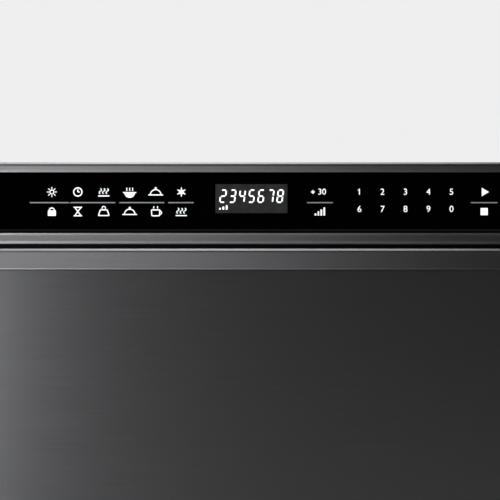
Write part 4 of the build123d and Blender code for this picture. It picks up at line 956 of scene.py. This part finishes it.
def louvres(name, opening, spots):
    """A hood over each opening of one length, as one piece. A spot is a place and a turn."""
    overlap = 2 * mm
    pattern = hood(opening + 2 * overlap)
    hoods = [copied(pattern, place, turn) for place, turn in spots]
    bpy.data.objects.remove(pattern)
    return finish_piece(joined(hoods), name, "chassis", "galvanised")


def side_louvres():
    """Hoods over the openings beside the fan, on both sides of the case."""
    y, z = fan_middle
    spots = [((side * case_half, y + row, z), (0, side * pi / 2, 0))
             for row in rows(case_rows) for side in (1, -1)]
    return louvres("side_louvres", 2 * louvre_half, spots)


def top_louvres():
    """Hoods over the openings above the fan."""
    left, right = -230 * mm, -60 * mm
    middle, y = (left + right) / 2, fan_middle[0]
    spots = [((middle, y + row, case_top), (0, 0, 0)) for row in rows(case_rows)]
    return louvres("top_louvres", right - left, spots)


def rear_louvres():
    """Hoods over the openings of the rear panel."""
    left, right = 111 * mm, 259 * mm
    middle, z = (left + right) / 2, fan_middle[1]
    spots = [((middle, rear_face, z + row), (-pi / 2, 0, 0)) for row in rows(rear_rows)]
    return louvres("rear_louvres", right - left, spots)


def case_beads():
    """Long shallow ribs pressed out of the case's sides and top, to stiffen them."""
    proud, width, edge_round = 1.0 * mm, 9 * mm, 0.95 * mm
    start, end = 60 * mm, 425 * mm
    rises, places = (90, 186, 282), (-190, -63, 63, 190)  # millimetres
    middle, length = (start + end) / 2, end - start
    side_size, top_size = (2 * proud, length, width), (width, length, 2 * proud)
    beads = [box("bead", (side * case_half, middle, z * mm), side_size, edge_round, 3)
             for side in (-1, 1) for z in rises]
    beads += [box("bead", (x * mm, middle, case_top), top_size, edge_round, 3) for x in places]
    piece = joined(beads)
    bpy.ops.object.shade_smooth_by_angle(angle=radians(50))
    return finish_piece(piece, "case_beads", "chassis", "galvanised")


def rating_plate():
    """A bare metal plate on the rear panel, held by four small rivets."""
    x, z, width, height = -60 * mm, 250 * mm, 90 * mm, 52 * mm
    thickness, sunk, edge_round = 0.6 * mm, 0.1 * mm, 0.15 * mm
    inset, rivet = 4 * mm, 1.6 * mm
    middle, face = rear_face + thickness / 2 - sunk, rear_face + thickness - sunk
    parts = [box("plate", (x, middle, z), (width, thickness, height), edge_round)]
    for u in (-1, 1):
        for w in (-1, 1):
            clear()
            place = (x + u * (width / 2 - inset), face, z + w * (height / 2 - inset))
            bpy.ops.mesh.primitive_uv_sphere_add(segments=16, ring_count=8, radius=rivet, location=place)
            bpy.ops.object.shade_smooth()
            parts.append(settle(bpy.context.object))
    return finish_piece(joined(parts), "rating_plate", "chassis", "capacitor_can")


# ================================================================ studio
board_thickness = 30 * mm
pale = (0.86, 0.86, 0.86)


def shelf_board():
    """A pale board under the chassis. The front hangs past its edge."""
    low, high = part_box("base_pan")
    side_margin, rear_margin, front_edge, edge_round = 10 * mm, 4 * mm, 8 * mm, 1.5 * mm
    rear_edge = high.y + rear_margin
    middle = (0, (front_edge + rear_edge) / 2, -board_thickness / 2)
    size = (high.x - low.x + 2 * side_margin, rear_edge - front_edge, board_thickness)
    board = box("shelf_board", middle, size, edge_round)
    return board


def studio_floor():
    """A wide floor, on which the board lies."""
    clear()
    bpy.ops.mesh.primitive_plane_add(size=14, location=(0, 0, -board_thickness))
    floor = bpy.context.object
    floor.name = "studio_floor"
    return floor


def shown(graph, behind):
    """1 for what the camera sees, and for what metal and glass mirror from behind the object."""
    rays = graph.node("LightPath").outputs
    mirrored = graph.sums("ADD", rays["Is Glossy Ray"], rays["Is Transmission Ray"])
    return graph.sums("ADD", rays["Is Camera Ray"], graph.sums("MULTIPLY", mirrored, behind))


def pale_ground():
    """The floor's paint, which fades into the pale ground all round, away from the object's shadow."""
    near_fade, rear_fade = (1.1, 2.6), (0.5, 2.5)  # where each begins and ends, in metres
    ground = Finish("pale_ground", (0.72, 0.72, 0.715), roughness=0.9)
    ground.colour(ground.shades(ground.noise(3), (0.3, (0.7, 0.7, 0.695)), (0.7, (0.73, 0.73, 0.725))))
    distance = ground.node("VectorMath", operation="LENGTH")
    ground.join(ground.place(), distance.inputs[0])
    away = ground.levels(distance.outputs["Value"], near_fade, (0, 1))
    split = ground.node("SeparateXYZ")
    ground.join(ground.place(), split.inputs["Vector"])
    behind = ground.levels(split.outputs["Y"], rear_fade, (0, 1))
    beyond = ground.node("Emission")
    beyond.inputs["Color"].default_value = (*pale, 1)
    faded = ground.node("MixShader")
    ground.join(ground.sums("MULTIPLY", away, shown(ground, behind)), faded.inputs["Fac"])
    ground.join(ground.shader.outputs["BSDF"], faded.inputs[1])
    ground.join(beyond.outputs["Emission"], faded.inputs[2])
    ground.join(faded.outputs["Shader"], ground.tree.nodes["Material Output"].inputs["Surface"])
    return ground.material


def pale_world():
    """Pale behind the object and dim in front of it, so that the black glass stays black."""
    lighting, dim = (0.6,) * 3, (0.004,) * 3
    front_to_rear = (-0.1, 0.9)
    world = bpy.data.worlds.new("pale_world")
    sky = Nodes(world)
    sky.tree.nodes.clear()
    way = sky.node("SeparateXYZ")
    sky.join(sky.node("TexCoord").outputs["Generated"], way.inputs["Vector"])
    behind = sky.levels(way.outputs["Y"], front_to_rear, (0, 1))
    colour = sky.mixed(shown(sky, behind), sky.shades(behind, (0, dim), (1, lighting)), pale)
    backdrop = sky.node("Background")
    sky.join(colour, backdrop.inputs["Color"])
    sky.join(backdrop.outputs["Background"], sky.node("OutputWorld").inputs["Surface"])
    bpy.context.scene.world = world


def soft_light(name, place, target, size, watts):
    """A rectangular light at a place, aimed at its target."""
    clear()
    bpy.ops.object.light_add(type="AREA", location=place)
    lamp = bpy.context.object
    lamp.name = name
    lamp.data.shape = "RECTANGLE"
    lamp.data.size, lamp.data.size_y = size
    lamp.data.energy = watts
    aim = Vector(target) - Vector(place)
    lamp.rotation_euler = aim.to_track_quat("-Z", "Y").to_euler()
    return lamp


def spared(lamp, *unlit):
    """The lamp leaves these objects unlit."""
    left_out = bpy.data.collections.new("unlit_by_" + lamp.name)
    for item in unlit:
        left_out.objects.link(item)
    for held in left_out.collection_objects:
        held.light_linking.link_state = "EXCLUDE"
    lamp.light_linking.receiver_collection = left_out


def studio_lights(*unlit):
    """Soft lights, mostly from the left and high up in front. Two light the back, and one the right side.

    The near panel leaves the unlit objects out.
    """
    front, body, side = Vector((0.0, -0.04, 0.3)), (0, 0.3, 0.2), (0.2, 0.1, 0.2)

    def before_front(name, bearing, rise, distance, size, watts):
        """A light aimed at the front. Bearing is in degrees to the right of it, and rise above level."""
        a, e = radians(bearing), radians(rise)
        way = Vector((sin(a) * cos(e), -cos(a) * cos(e), sin(e)))
        return soft_light(name, front + way * distance, front, size, watts)

    before_front("left_window", -18, 36, 2.0, (1.1, 0.5), 4.4)
    before_front("left_lamp", -20, 45, 2.0, (0.35, 0.35), 6.6)
    spared(before_front("near_left_panel", -29, 0, 1.1, (0.25, 0.5), 9.9), *unlit)
    before_front("high_left_panel", -28, 72, 1.7, (0.6, 0.4), 5.7)
    before_front("high_panel", 0, 66, 1.7, (0.6, 0.4), 5.8)
    soft_light("rear_left_light", (-1.9, 1.9, 1.7), body, (2.0, 2.0), 15)
    soft_light("rear_right_light", (1.9, 1.9, 1.7), body, (2.0, 2.0), 15)
    soft_light("right_side_light", (2.1, 0.0, 0.9), side, (0.8, 1.2), 10)


def camera():
    """Level and square to the front, through a long lens."""
    centre_z, width_seen, distance = 0.328, 0.375, 2.5
    sensor = 36  # millimetres, as is the lens
    clear()
    front = cad_box[0][1]
    bpy.ops.object.camera_add(location=(0, front - distance, centre_z), rotation=(pi / 2, 0, 0))
    lens = bpy.context.object
    lens.data.sensor_width = sensor
    lens.data.lens = sensor * distance / width_seen
    bpy.context.scene.camera = lens


# ================================================================ the whole scene
dress_frame()
key_marks()
key_dividers()
key_numbers()
window = display_window()
display_figures()
glass_seal_painted_shade()
case_screw_heads()
side_louvres()
top_louvres()
rear_louvres()
case_beads()
rating_plate()
grounds = studio_floor(), shelf_board()
for ground in grounds:
    ground.data.materials.append(pale_ground())
pale_world()
studio_lights(*grounds, nodes["control_glass"], window)
camera()

bpy.context.scene.view_settings.view_transform = "Standard"
